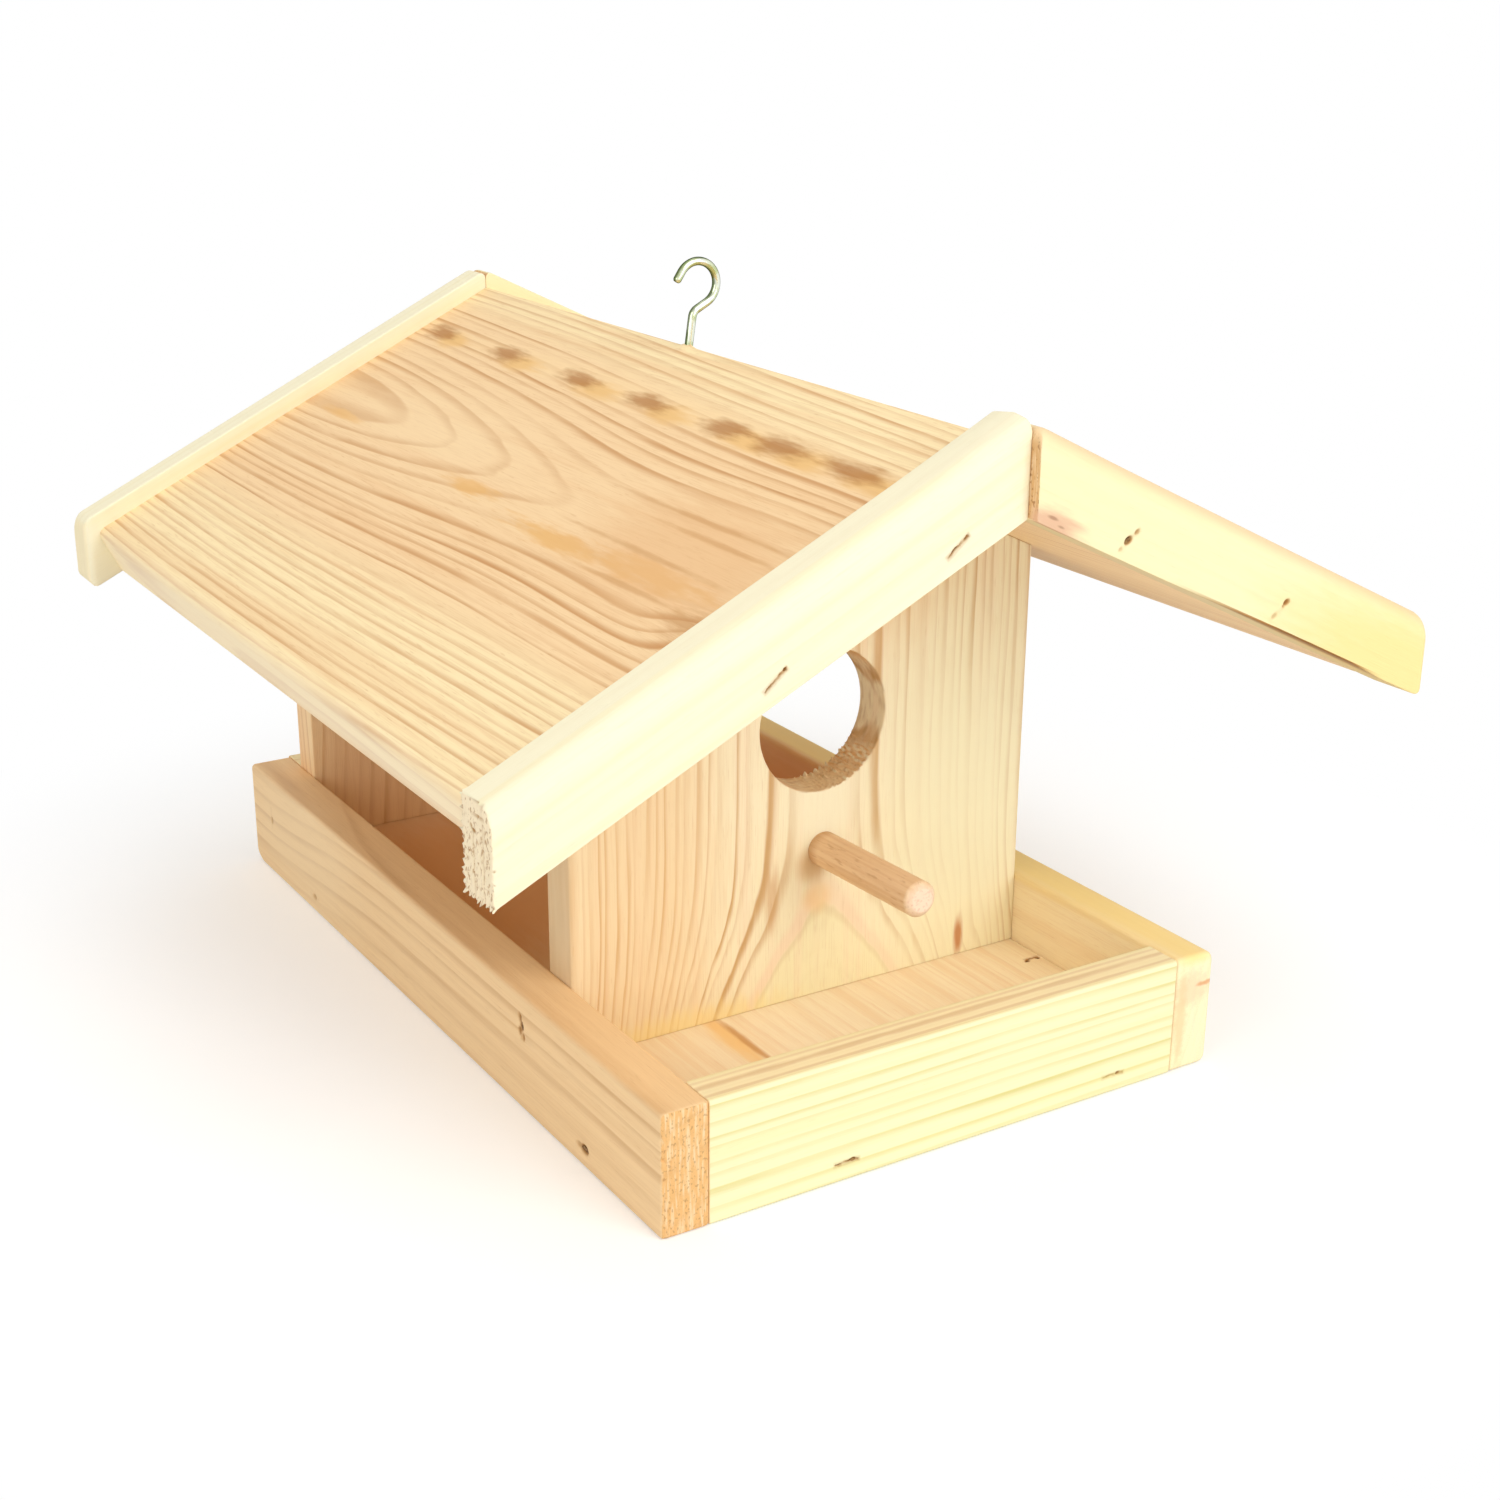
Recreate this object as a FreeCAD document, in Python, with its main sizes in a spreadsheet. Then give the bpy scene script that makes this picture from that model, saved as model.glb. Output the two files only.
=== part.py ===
import FreeCAD, Part
import os
import Sketcher

# Wooden bird feeder: a tray with a porch, a gabled house open at both sides and a two-board roof.
# X runs to the right, Y to the rear and Z up, with the origin under the middle of the tray.
doc = FreeCAD.newDocument("bird_feeder")

# Driving dimensions, in millimetres and degrees
SIZES = {
    # Tray: a floor board between four rails set on edge
    "tray_width": 210,
    "tray_length": 333,
    "rail_height": 41,
    "side_rail_thick": 16,
    "end_rail_thick": 14,
    "floor_thick": 15,
    # House: two gabled walls that stand on the floor, behind an open porch
    "wall_thick": 15,
    "porch_depth": 71,
    "gable_height": 189.3,
    "hole_diameter": 49,
    "hole_height": 98.4,
    "hole_offset": 5.5,
    # Perch dowel below the entrance hole
    "perch_diameter": 12,
    "perch_length": 71,
    "perch_height": 52.6,
    "perch_offset": 6.2,
    "perch_rise": 2.2,
    "perch_chamfer": 1,
    "glue_gap": 0.05,
    # How far a bored hole's cutter runs past the wood
    "cut_past": 10,
    # Roof: two boards mitred at the ridge, with a batten under the joint
    "roof_pitch": 25.8,
    "panel_thick": 18,
    "left_panel_width": 178.5,
    "right_panel_width": 176,
    "panel_length": 322.5,
    "right_panel_extra": 4,
    "batten_width": 32,
    "batten_depth": 22,
    # Barge strips over the end grain of the roof boards
    "barge_thick": 17,
    "barge_width": 24,
    "barge_round": 6.8,
    "barge_past_eave": 2.7,
    # Screw hook in the ridge
    "hook_wire": 2.8,
    "hook_place": -3.6,
    "hook_neck": 10,
    "hook_bend": 4,
    "hook_loop": 7.8,
    "hook_loop_offset": 2.2,
    "hook_tip_angle": 168,
    "hook_plain": 4,
    "hook_screw": 32,
    "hook_pitch": 1.4,
    "hook_thread_depth": 0.35,
    "hook_point": 3.5,
    "hook_clearance": 0.06,
    "hook_bore_spare": 1.5,
    # Wire staples that hold the rails, the walls and the barges
    "staple_crown": 8.5,
    "staple_leg": 25,
    "staple_wire_width": 1.2,
    "staple_wire_thick": 0.8,
    "staple_sink": 0.5,
    "floor_staple_height": 6.3,
    "front_staple_left": 40.7,
    "front_staple_right": 64.1,
    "side_staple_front": 118.2,
    "side_staple_rear": 101.9,
    "wall_staple_inset": 4,
    "wall_staple_height": 29.6,
    "rear_wall_staple_height": 24.1,
    "barge_staple_rise": 6.2,
    "left_barge_staple_high": 23.7,
    "left_barge_staple_low": 81.4,
    "right_barge_staple_high": 33.6,
    "right_barge_staple_low": 94.6,
    "right_barge_staple_tilt": 32,
    "porch_staple_leg": 11,
    "porch_staple_crown": 5.5,
    "porch_staple_inset": 4.2,
    "porch_staple_place": 16.6,
}

sheet = doc.addObject("Spreadsheet::Sheet", "Sizes")
for row, (name, value) in enumerate(SIZES.items(), 1):
    sheet.set("A%d" % row, name)
    sheet.set("B%d" % row, str(value))
    sheet.setAlias("B%d" % row, name)
doc.recompute()

# Places that several pieces share, as expressions of the driving dimensions
INNER_HALF = "(Sizes.tray_width / 2 - Sizes.side_rail_thick)"
TRAY_FRONT = "(-Sizes.tray_length / 2)"
TRAY_REAR = "(Sizes.tray_length / 2)"
FLOOR_FRONT = "(-Sizes.tray_length / 2 + Sizes.end_rail_thick)"
FLOOR_REAR = "(Sizes.tray_length / 2 - Sizes.end_rail_thick)"
HOUSE_FRONT = "(-Sizes.tray_length / 2 + Sizes.end_rail_thick + Sizes.porch_depth)"
SLOPE = "tan(Sizes.roof_pitch)"
PEAK = "(Sizes.floor_thick + Sizes.gable_height)"
PANEL_DROP = "(Sizes.panel_thick / cos(Sizes.roof_pitch))"
RIDGE = "(%s + %s)" % (PEAK, PANEL_DROP)
LEFT_EAVE = "(Sizes.left_panel_width * cos(Sizes.roof_pitch))"
RIGHT_EAVE = "(Sizes.right_panel_width * cos(Sizes.roof_pitch))"
LEFT_PANEL_FRONT = "(%s - Sizes.panel_length)" % FLOOR_REAR
RIGHT_PANEL_FRONT = "(%s - Sizes.right_panel_extra)" % LEFT_PANEL_FRONT
BARGE_HEIGHT = "(Sizes.barge_width / cos(Sizes.roof_pitch))"


def under_roof(distance):
    """Height of the roof's underside at a distance from the ridge line."""
    return "(%s - (%s) * %s)" % (PEAK, distance, SLOPE)


def bind(thing, sizes):
    """Bind each property named in sizes to its expression."""
    for prop, expression in sizes.items():
        thing.setExpression(prop, expression)
    return thing


def place(thing, x, y, z, turn="rotation(0; 0; 0)"):
    """Bind the whole placement: the corner or centre at x, y, z, turned by turn."""
    thing.setExpression("Placement", "placement(vector(%s; %s; %s); %s)" % (x, y, z, turn))
    return thing


def number(expression):
    """Present value of an expression, to start a sketch near its solution."""
    return float(sheet.evalExpression(expression))


def box(name, length, width, height, x, y, z):
    """Square-edged block with its low corner at x, y, z."""
    block = doc.addObject("Part::Box", name)
    bind(block, {"Length": length, "Width": width, "Height": height})
    return place(block, x, y, z)


def outline(body, name, plane, corners):
    """Closed sketch of straight lines, each corner held at its own two distances from the origin."""
    sketch = body.newObject("Sketcher::SketchObject", name)
    support = [item for item in body.Origin.OriginFeatures if item.Role == plane][0]
    sketch.AttachmentSupport = [(support, "")]
    sketch.MapMode = "FlatFace"
    points = [FreeCAD.Vector(number(across), number(up), 0) for across, up in corners]
    count = len(points)
    for index, point in enumerate(points):
        sketch.addGeometry(Part.LineSegment(point, points[(index + 1) % count]), False)
    for index in range(count):
        sketch.addConstraint(Sketcher.Constraint("Coincident", index, 2, (index + 1) % count, 1))
    for index, (across, up) in enumerate(corners):
        for kind, axis, expression in (("DistanceX", "across", across), ("DistanceY", "up", up)):
            label = "%s_%d" % (axis, index)
            rule = Sketcher.Constraint(kind, -1, 1, index, 1, number(expression))
            sketch.renameConstraint(sketch.addConstraint(rule), label)
            sketch.setExpression("Constraints." + label, expression)
    return sketch


def cut_board(name, corners, thick, rear):
    """Board with an upright outline in X and Z, whose rear face lies at the given Y."""
    body = doc.addObject("PartDesign::Body", name)
    sketch = outline(body, name + "_outline", "XZ_Plane", corners)
    pad = body.newObject("PartDesign::Pad", name + "_pad")
    pad.Profile = sketch
    pad.setExpression("Length", thick)
    place(body, "0", rear, "0")
    doc.recompute()
    return body


def cut(name, base, tools):
    """The named sub-part: base with every tool taken out of it."""
    group = doc.addObject("Part::Compound", name + "_cutters")
    group.Links = tools
    piece = doc.addObject("Part::Cut", name)
    piece.Base = base
    piece.Tool = group
    piece.Label = name
    return piece


# Staples: flat wire bent square, crown along X and legs along +Y before they are turned into place
def staple_set(name, crown, leg, spots):
    """Group of staples, and the slots that they leave in the wood with the sunk crown's recess."""
    staples = []
    slots = []
    half_width = "(-Sizes.staple_wire_width / 2)"
    for index, (x, y, z, turn) in enumerate(spots):
        stem = "%s_%d" % (name, index)
        wide = "Sizes.staple_wire_width"
        thick = "Sizes.staple_wire_thick"
        left = "(-%s / 2)" % crown
        right = "(%s / 2 - %s)" % (crown, thick)
        top = box(stem + "_crown", crown, thick, wide, left, "Sizes.staple_sink", half_width)
        first = box(stem + "_leg_a", thick, leg, wide, left, "Sizes.staple_sink", half_width)
        second = box(stem + "_leg_b", thick, leg, wide, right, "Sizes.staple_sink", half_width)
        recess = box(stem + "_recess", crown, "Sizes.staple_sink", wide, left, "0", half_width)
        for suffix, shapes, group in (
            ("_staple", [top, first, second], staples),
            ("_slot", [top, first, second, recess], slots),
        ):
            joined = doc.addObject("Part::MultiFuse", stem + suffix)
            joined.Shapes = shapes
            joined.Refine = True
            group.append(place(joined, x, y, z, turn))
    piece = doc.addObject("Part::Compound", name)
    piece.Links = staples
    piece.Label = name
    return piece, slots


FACE_FRONT = "rotation(vector(0; 0; 1); 0)"
FACE_REAR = "rotation(vector(0; 0; 1); 180)"
FACE_LEFT = "rotation(vector(0; 0; 1); -90)"
FACE_RIGHT = "rotation(vector(0; 0; 1); 90)"
FACE_UP = "rotation(vector(1; 0; 0); -90)"


def tilted(face, angle):
    """Face rotation with the crown raised by angle to its own right."""
    return "%s * rotation(vector(0; 1; 0); -(%s))" % (face, angle)


CROWN = "Sizes.staple_crown"
LEG = "Sizes.staple_leg"
UPRIGHT = "90"
FRONT_WALL_PIN = "(%s + Sizes.wall_staple_inset)" % HOUSE_FRONT
REAR_WALL_PIN = "(%s - Sizes.wall_thick / 2)" % FLOOR_REAR


def rail_spots(side, face):
    """Four staples in one side rail: two into the floor's edge, one into each wall's edge."""
    x = "(%s * Sizes.tray_width / 2)" % side
    return [
        (x, "-Sizes.side_staple_front", "Sizes.floor_staple_height", face),
        (x, "Sizes.side_staple_rear", "Sizes.floor_staple_height", face),
        (x, FRONT_WALL_PIN, "Sizes.wall_staple_height", tilted(face, UPRIGHT)),
        (x, REAR_WALL_PIN, "Sizes.rear_wall_staple_height", tilted(face, UPRIGHT)),
    ]


def end_spots(y, face):
    """Two staples in one end rail, driven into the floor's edge."""
    return [
        ("-Sizes.front_staple_left", y, "Sizes.floor_staple_height", face),
        ("Sizes.front_staple_right", y, "Sizes.floor_staple_height", face),
    ]


def barge_spots(side, hand, y, face, angle):
    """Two staples in one barge, driven into the end grain of its roof board."""
    spots = []
    for place_name in ("high", "low"):
        distance = "Sizes.%s_barge_staple_%s" % (hand, place_name)
        height = "%s + Sizes.barge_staple_rise / cos(Sizes.roof_pitch)" % under_roof(distance)
        spots.append(("%s * %s" % (side, distance), y, height, tilted(face, angle)))
    return spots


FRONT_LEFT_FACE = "(%s - Sizes.barge_thick)" % LEFT_PANEL_FRONT
FRONT_RIGHT_FACE = "(%s - Sizes.barge_thick)" % RIGHT_PANEL_FRONT
REAR_FACE = "(%s + Sizes.barge_thick)" % FLOOR_REAR
ALONG_SLOPE = "Sizes.roof_pitch"
ACROSS_SLOPE = "Sizes.right_barge_staple_tilt"

left_rail_staples, left_rail_slots = staple_set(
    "left_rail_staples", CROWN, LEG, rail_spots("-1", FACE_LEFT))
right_rail_staples, right_rail_slots = staple_set(
    "right_rail_staples", CROWN, LEG, rail_spots("1", FACE_RIGHT))
front_rail_staples, front_rail_slots = staple_set(
    "front_rail_staples", CROWN, LEG, end_spots(TRAY_FRONT, FACE_FRONT))
rear_rail_staples, rear_rail_slots = staple_set(
    "rear_rail_staples", CROWN, LEG, end_spots(TRAY_REAR, FACE_REAR))
front_left_barge_staples, front_left_barge_slots = staple_set(
    "front_left_barge_staples", CROWN, LEG,
    barge_spots("-1", "left", FRONT_LEFT_FACE, FACE_FRONT, ALONG_SLOPE))
front_right_barge_staples, front_right_barge_slots = staple_set(
    "front_right_barge_staples", CROWN, LEG,
    barge_spots("1", "right", FRONT_RIGHT_FACE, FACE_FRONT, ACROSS_SLOPE))
rear_left_barge_staples, rear_left_barge_slots = staple_set(
    "rear_left_barge_staples", CROWN, LEG,
    barge_spots("-1", "left", REAR_FACE, FACE_REAR, "-" + ALONG_SLOPE))
rear_right_barge_staples, rear_right_barge_slots = staple_set(
    "rear_right_barge_staples", CROWN, LEG,
    barge_spots("1", "right", REAR_FACE, FACE_REAR, ALONG_SLOPE))
PORCH_STAPLE_X = "(%s - Sizes.porch_staple_inset)" % INNER_HALF
PORCH_STAPLE_Y = "(%s - Sizes.porch_staple_place)" % HOUSE_FRONT
porch_staple, porch_slots = staple_set(
    "porch_staple", "Sizes.porch_staple_crown", "Sizes.porch_staple_leg",
    [(PORCH_STAPLE_X, PORCH_STAPLE_Y, "Sizes.floor_thick", FACE_UP)])

# Floor: one board between the rails, flush with their lower edges
floor_blank = box(
    "floor_blank", "2 * " + INNER_HALF, "Sizes.tray_length - 2 * Sizes.end_rail_thick",
    "Sizes.floor_thick", "-" + INNER_HALF, FLOOR_FRONT, "0")
floor_board = cut(
    "floor_board", floor_blank,
    left_rail_slots[:2] + right_rail_slots[:2] + front_rail_slots + rear_rail_slots + porch_slots)

# Rails: the side rails run the whole length, the end rails fit between them
left_blank = box(
    "left_blank", "Sizes.side_rail_thick", "Sizes.tray_length", "Sizes.rail_height",
    "-Sizes.tray_width / 2", TRAY_FRONT, "0")
left_rail = cut("left_rail", left_blank, left_rail_slots)
right_blank = box(
    "right_blank", "Sizes.side_rail_thick", "Sizes.tray_length", "Sizes.rail_height",
    INNER_HALF, TRAY_FRONT, "0")
right_rail = cut("right_rail", right_blank, right_rail_slots)
front_blank = box(
    "front_blank", "2 * " + INNER_HALF, "Sizes.end_rail_thick", "Sizes.rail_height",
    "-" + INNER_HALF, TRAY_FRONT, "0")
front_rail = cut("front_rail", front_blank, front_rail_slots)
rear_blank = box(
    "rear_blank", "2 * " + INNER_HALF, "Sizes.end_rail_thick", "Sizes.rail_height",
    "-" + INNER_HALF, FLOOR_REAR, "0")
rear_rail = cut("rear_rail", rear_blank, rear_rail_slots)

# Walls: gabled boards that stand on the floor and carry the roof on their sloping tops
WALL_CORNERS = [
    ("-" + INNER_HALF, "Sizes.floor_thick"),
    (INNER_HALF, "Sizes.floor_thick"),
    (INNER_HALF, under_roof(INNER_HALF)),
    ("0", PEAK),
    ("-" + INNER_HALF, under_roof(INNER_HALF)),
]
front_wall_rear = "(%s + Sizes.wall_thick)" % HOUSE_FRONT
front_wall_blank = cut_board("front_wall_blank", WALL_CORNERS, "Sizes.wall_thick", front_wall_rear)
entrance = doc.addObject("Part::Cylinder", "entrance")
bind(entrance, {
    "Radius": "Sizes.hole_diameter / 2",
    "Height": "Sizes.wall_thick + 2 * Sizes.cut_past",
})
place(
    entrance, "Sizes.hole_offset", "%s + Sizes.cut_past" % front_wall_rear,
    "Sizes.floor_thick + Sizes.hole_height", "rotation(vector(1; 0; 0); 90)")

# Perch: a turned dowel glued into the wall, rising a little towards its chamfered tip
PERCH_Z = "(Sizes.floor_thick + Sizes.perch_height)"
PERCH_TURN = "rotation(vector(1; 0; 0); 90 - Sizes.perch_rise)"
perch_dowel = doc.addObject("PartDesign::Body", "perch_dowel")
perch_sketch = outline(perch_dowel, "perch_outline", "XZ_Plane", [
    ("0", "0"),
    ("Sizes.perch_diameter / 2", "0"),
    ("Sizes.perch_diameter / 2", "Sizes.perch_length - Sizes.perch_chamfer"),
    ("Sizes.perch_diameter / 2 - Sizes.perch_chamfer", "Sizes.perch_length"),
    ("0", "Sizes.perch_length"),
])
perch_turned = perch_dowel.newObject("PartDesign::Revolution", "perch_turned")
perch_turned.Profile = perch_sketch
perch_turned.ReferenceAxis = (perch_sketch, ["V_Axis"])
place(perch_dowel, "Sizes.perch_offset", front_wall_rear, PERCH_Z, PERCH_TURN)
perch_bore = doc.addObject("Part::Cylinder", "perch_bore")
bind(perch_bore, {
    "Radius": "Sizes.perch_diameter / 2 + Sizes.glue_gap",
    "Height": "Sizes.perch_length + Sizes.cut_past",
})
place(
    perch_bore, "Sizes.perch_offset",
    "%s + Sizes.cut_past * cos(Sizes.perch_rise)" % front_wall_rear,
    "%s - Sizes.cut_past * sin(Sizes.perch_rise)" % PERCH_Z, PERCH_TURN)
front_wall = cut(
    "front_wall", front_wall_blank,
    [entrance, perch_bore, left_rail_slots[2], right_rail_slots[2]])
rear_wall_blank = cut_board("rear_wall_blank", WALL_CORNERS, "Sizes.wall_thick", FLOOR_REAR)
rear_wall = cut("rear_wall", rear_wall_blank, [left_rail_slots[3], right_rail_slots[3]])

# Screw hook: round wire with a neck, a bend and an open loop across the ridge
WIRE = "Sizes.hook_wire / 2"
LOOP_RISE = (
    "sqrt((Sizes.hook_loop + Sizes.hook_bend) ^ 2 - (Sizes.hook_loop_offset - Sizes.hook_bend) ^ 2)")
JOIN_ANGLE = (
    "(acos((Sizes.hook_loop_offset - Sizes.hook_bend) / (Sizes.hook_loop + Sizes.hook_bend)) / 1 deg)")
LOOP_Z = "(%s + Sizes.hook_neck + %s)" % (RIDGE, LOOP_RISE)
UPRIGHT_RING = "rotation(vector(1; 0; 0); 90)"
neck = doc.addObject("Part::Cylinder", "hook_neck_wire")
bind(neck, {"Radius": WIRE, "Height": "Sizes.hook_neck + Sizes.hook_plain"})
place(neck, "0", "Sizes.hook_place", "%s - Sizes.hook_plain" % RIDGE)
bend = doc.addObject("Part::Torus", "hook_bend_wire")
bind(bend, {"Radius1": "Sizes.hook_bend", "Radius2": WIRE, "Angle3": "180 - " + JOIN_ANGLE})
place(
    bend, "Sizes.hook_bend", "Sizes.hook_place", "%s + Sizes.hook_neck" % RIDGE,
    "%s * rotation(vector(0; 0; 1); %s)" % (UPRIGHT_RING, JOIN_ANGLE))
loop = doc.addObject("Part::Torus", "hook_loop_wire")
bind(loop, {
    "Radius1": "Sizes.hook_loop",
    "Radius2": WIRE,
    "Angle3": "Sizes.hook_tip_angle + 180 - " + JOIN_ANGLE,
})
place(
    loop, "Sizes.hook_loop_offset", "Sizes.hook_place", LOOP_Z,
    "%s * rotation(vector(0; 0; 1); %s - 180)" % (UPRIGHT_RING, JOIN_ANGLE))
tip = doc.addObject("Part::Sphere", "hook_tip")
bind(tip, {"Radius": WIRE})
place(
    tip, "Sizes.hook_loop_offset + Sizes.hook_loop * cos(Sizes.hook_tip_angle)", "Sizes.hook_place",
    "%s + Sizes.hook_loop * sin(Sizes.hook_tip_angle)" % LOOP_Z)

# Screw of the hook: ridges at the thread's pitch on a thinner core, ending in a point
turns = int(number("(Sizes.hook_screw - Sizes.hook_plain - Sizes.hook_point) / Sizes.hook_pitch"))
CORE = "(Sizes.hook_wire / 2 - Sizes.hook_thread_depth)"
screw_corners = [("0", "-Sizes.hook_plain"), (WIRE, "-Sizes.hook_plain")]
for turn_number in range(turns):
    valley = "(-Sizes.hook_plain - %d * Sizes.hook_pitch - Sizes.hook_pitch / 2)" % turn_number
    crest = "(-Sizes.hook_plain - %d * Sizes.hook_pitch)" % (turn_number + 1)
    screw_corners.append((CORE, valley))
    screw_corners.append((WIRE, crest))
screw_corners.append((CORE, "(-Sizes.hook_screw + Sizes.hook_point)"))
screw_corners.append(("0", "-Sizes.hook_screw"))
screw = doc.addObject("PartDesign::Body", "hook_screw_thread")
screw_sketch = outline(screw, "hook_screw_outline", "XZ_Plane", screw_corners)
screw_turned = screw.newObject("PartDesign::Revolution", "hook_screw_turned")
screw_turned.Profile = screw_sketch
screw_turned.ReferenceAxis = (screw_sketch, ["V_Axis"])
place(screw, "0", "Sizes.hook_place", RIDGE)
screw_hook = doc.addObject("Part::MultiFuse", "screw_hook")
screw_hook.Shapes = [screw, neck, bend, loop, tip]
screw_hook.Label = "screw_hook"
hook_bore = doc.addObject("Part::Cylinder", "hook_bore")
bind(hook_bore, {
    "Radius": WIRE + " + Sizes.hook_clearance",
    "Height": "Sizes.hook_screw + 2 * Sizes.hook_bore_spare",
})
place(
    hook_bore, "0", "Sizes.hook_place",
    "%s - Sizes.hook_screw - Sizes.hook_bore_spare" % RIDGE)

# Ridge batten: a strip glued under the ridge between the walls, where the hook takes hold
BATTEN_HALF = "(Sizes.batten_width / 2)"
batten_blank = cut_board(
    "batten_blank",
    [
        ("0", PEAK),
        ("-" + BATTEN_HALF, under_roof(BATTEN_HALF)),
        ("-" + BATTEN_HALF, "%s - Sizes.batten_depth" % PEAK),
        (BATTEN_HALF, "%s - Sizes.batten_depth" % PEAK),
        (BATTEN_HALF, under_roof(BATTEN_HALF)),
    ],
    "%s - Sizes.wall_thick - %s" % (FLOOR_REAR, front_wall_rear),
    "%s - Sizes.wall_thick" % FLOOR_REAR)
ridge_batten = cut("ridge_batten", batten_blank, [hook_bore])


# Roof boards: one on each side, resting on the walls and the batten
def roof_panel(name, side, eave, length, slots):
    """Roof board on one side: plumb mitre at the ridge, square cut at the eave."""
    blank = cut_board(
        name + "_blank",
        [
            ("0", RIDGE),
            ("%s * %s" % (side, eave), "%s - %s * %s" % (RIDGE, eave, SLOPE)),
            (
                "%s * (%s - Sizes.panel_thick * sin(Sizes.roof_pitch))" % (side, eave),
                "%s - %s * %s - Sizes.panel_thick * cos(Sizes.roof_pitch)" % (RIDGE, eave, SLOPE),
            ),
            ("0", PEAK),
        ],
        length, FLOOR_REAR)
    return cut(name, blank, slots + [hook_bore])


left_roof_panel = roof_panel(
    "left_roof_panel", "-1", LEFT_EAVE, "Sizes.panel_length",
    front_left_barge_slots + rear_left_barge_slots)
right_roof_panel = roof_panel(
    "right_roof_panel", "1", RIGHT_EAVE, "Sizes.panel_length + Sizes.right_panel_extra",
    front_right_barge_slots + rear_right_barge_slots)


# Barge strips: stapled over the end grain of the roof boards, meeting at the ridge
SAME_PLACE = 0.001


def barge(name, side, eave, rear, outer, slots):
    """Barge strip with plumb ends, flush with the roof's underside, its outer top edge rounded over."""
    end = "(%s + Sizes.barge_past_eave)" % eave
    low = under_roof(end)
    body = cut_board(
        name + "_blank",
        [
            ("0", PEAK),
            ("%s * %s" % (side, end), low),
            ("%s * %s" % (side, end), "%s + %s" % (low, BARGE_HEIGHT)),
            ("0", "%s + %s" % (PEAK, BARGE_HEIGHT)),
        ],
        "Sizes.barge_thick", rear)
    pad = body.Tip
    outer_y = number(outer)
    top_z = number("%s + %s" % (PEAK, BARGE_HEIGHT))
    bottom_z = number("%s + %s" % (low, BARGE_HEIGHT))
    middle_z = (top_z + bottom_z) / 2
    edges = []
    for index, edge in enumerate(pad.Shape.Edges, 1):
        centre = edge.CenterOfMass
        if abs(centre.y - outer_y) < SAME_PLACE and abs(centre.z - middle_z) < SAME_PLACE:
            edges.append("Edge%d" % index)
    rounded = body.newObject("PartDesign::Fillet", name + "_roundover")
    rounded.Base = (pad, edges)
    rounded.setExpression("Radius", "Sizes.barge_round")
    doc.recompute()
    return cut(name, body, slots)


front_left_barge = barge(
    "front_left_barge", "-1", LEFT_EAVE, LEFT_PANEL_FRONT, "-Sizes.barge_thick",
    front_left_barge_slots)
front_right_barge = barge(
    "front_right_barge", "1", RIGHT_EAVE, RIGHT_PANEL_FRONT, "-Sizes.barge_thick",
    front_right_barge_slots)
rear_left_barge = barge(
    "rear_left_barge", "-1", LEFT_EAVE, REAR_FACE, "0", rear_left_barge_slots)
rear_right_barge = barge(
    "rear_right_barge", "1", RIGHT_EAVE, REAR_FACE, "0", rear_right_barge_slots)

SUBPARTS = [
    floor_board, left_rail, right_rail, front_rail, rear_rail,
    front_wall, rear_wall, perch_dowel,
    ridge_batten, left_roof_panel, right_roof_panel,
    front_left_barge, front_right_barge, rear_left_barge, rear_right_barge,
    screw_hook,
    left_rail_staples, right_rail_staples, front_rail_staples, rear_rail_staples, porch_staple,
    front_left_barge_staples, front_right_barge_staples,
    rear_left_barge_staples, rear_right_barge_staples,
]

doc.recompute()
for thing in doc.Objects:
    if "Invalid" in thing.State or "Error" in thing.State:
        raise RuntimeError("%s did not build: %s" % (thing.Label, thing.State))
for piece in SUBPARTS:
    if piece.Shape.isNull() or not piece.Shape.isValid():
        raise RuntimeError("%s has no sound shape" % piece.Label)

os.makedirs("parts", exist_ok=True)
for piece in SUBPARTS:
    piece.Shape.exportStep("parts/%s.step" % piece.Label)
    bounds = piece.Shape.BoundBox
    print("%s: %d solid(s), %.0f mm3, x %.1f to %.1f, y %.1f to %.1f, z %.1f to %.1f" % (
        piece.Label, len(piece.Shape.Solids), piece.Shape.Volume,
        bounds.XMin, bounds.XMax, bounds.YMin, bounds.YMax, bounds.ZMin, bounds.ZMax))
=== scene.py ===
import bpy
import numpy as np
from mathutils import Matrix


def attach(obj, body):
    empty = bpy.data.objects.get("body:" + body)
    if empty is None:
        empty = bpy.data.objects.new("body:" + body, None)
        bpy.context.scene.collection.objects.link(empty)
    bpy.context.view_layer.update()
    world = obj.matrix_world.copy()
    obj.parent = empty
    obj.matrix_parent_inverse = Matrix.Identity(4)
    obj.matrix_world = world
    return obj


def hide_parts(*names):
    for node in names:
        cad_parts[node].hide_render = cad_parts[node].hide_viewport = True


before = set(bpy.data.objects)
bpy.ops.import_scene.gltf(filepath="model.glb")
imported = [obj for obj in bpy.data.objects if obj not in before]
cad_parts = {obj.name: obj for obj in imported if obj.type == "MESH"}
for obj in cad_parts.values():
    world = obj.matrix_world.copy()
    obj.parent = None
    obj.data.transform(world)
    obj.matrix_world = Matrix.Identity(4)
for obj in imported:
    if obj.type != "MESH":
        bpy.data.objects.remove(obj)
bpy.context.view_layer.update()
scene = bpy.context.scene

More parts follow.
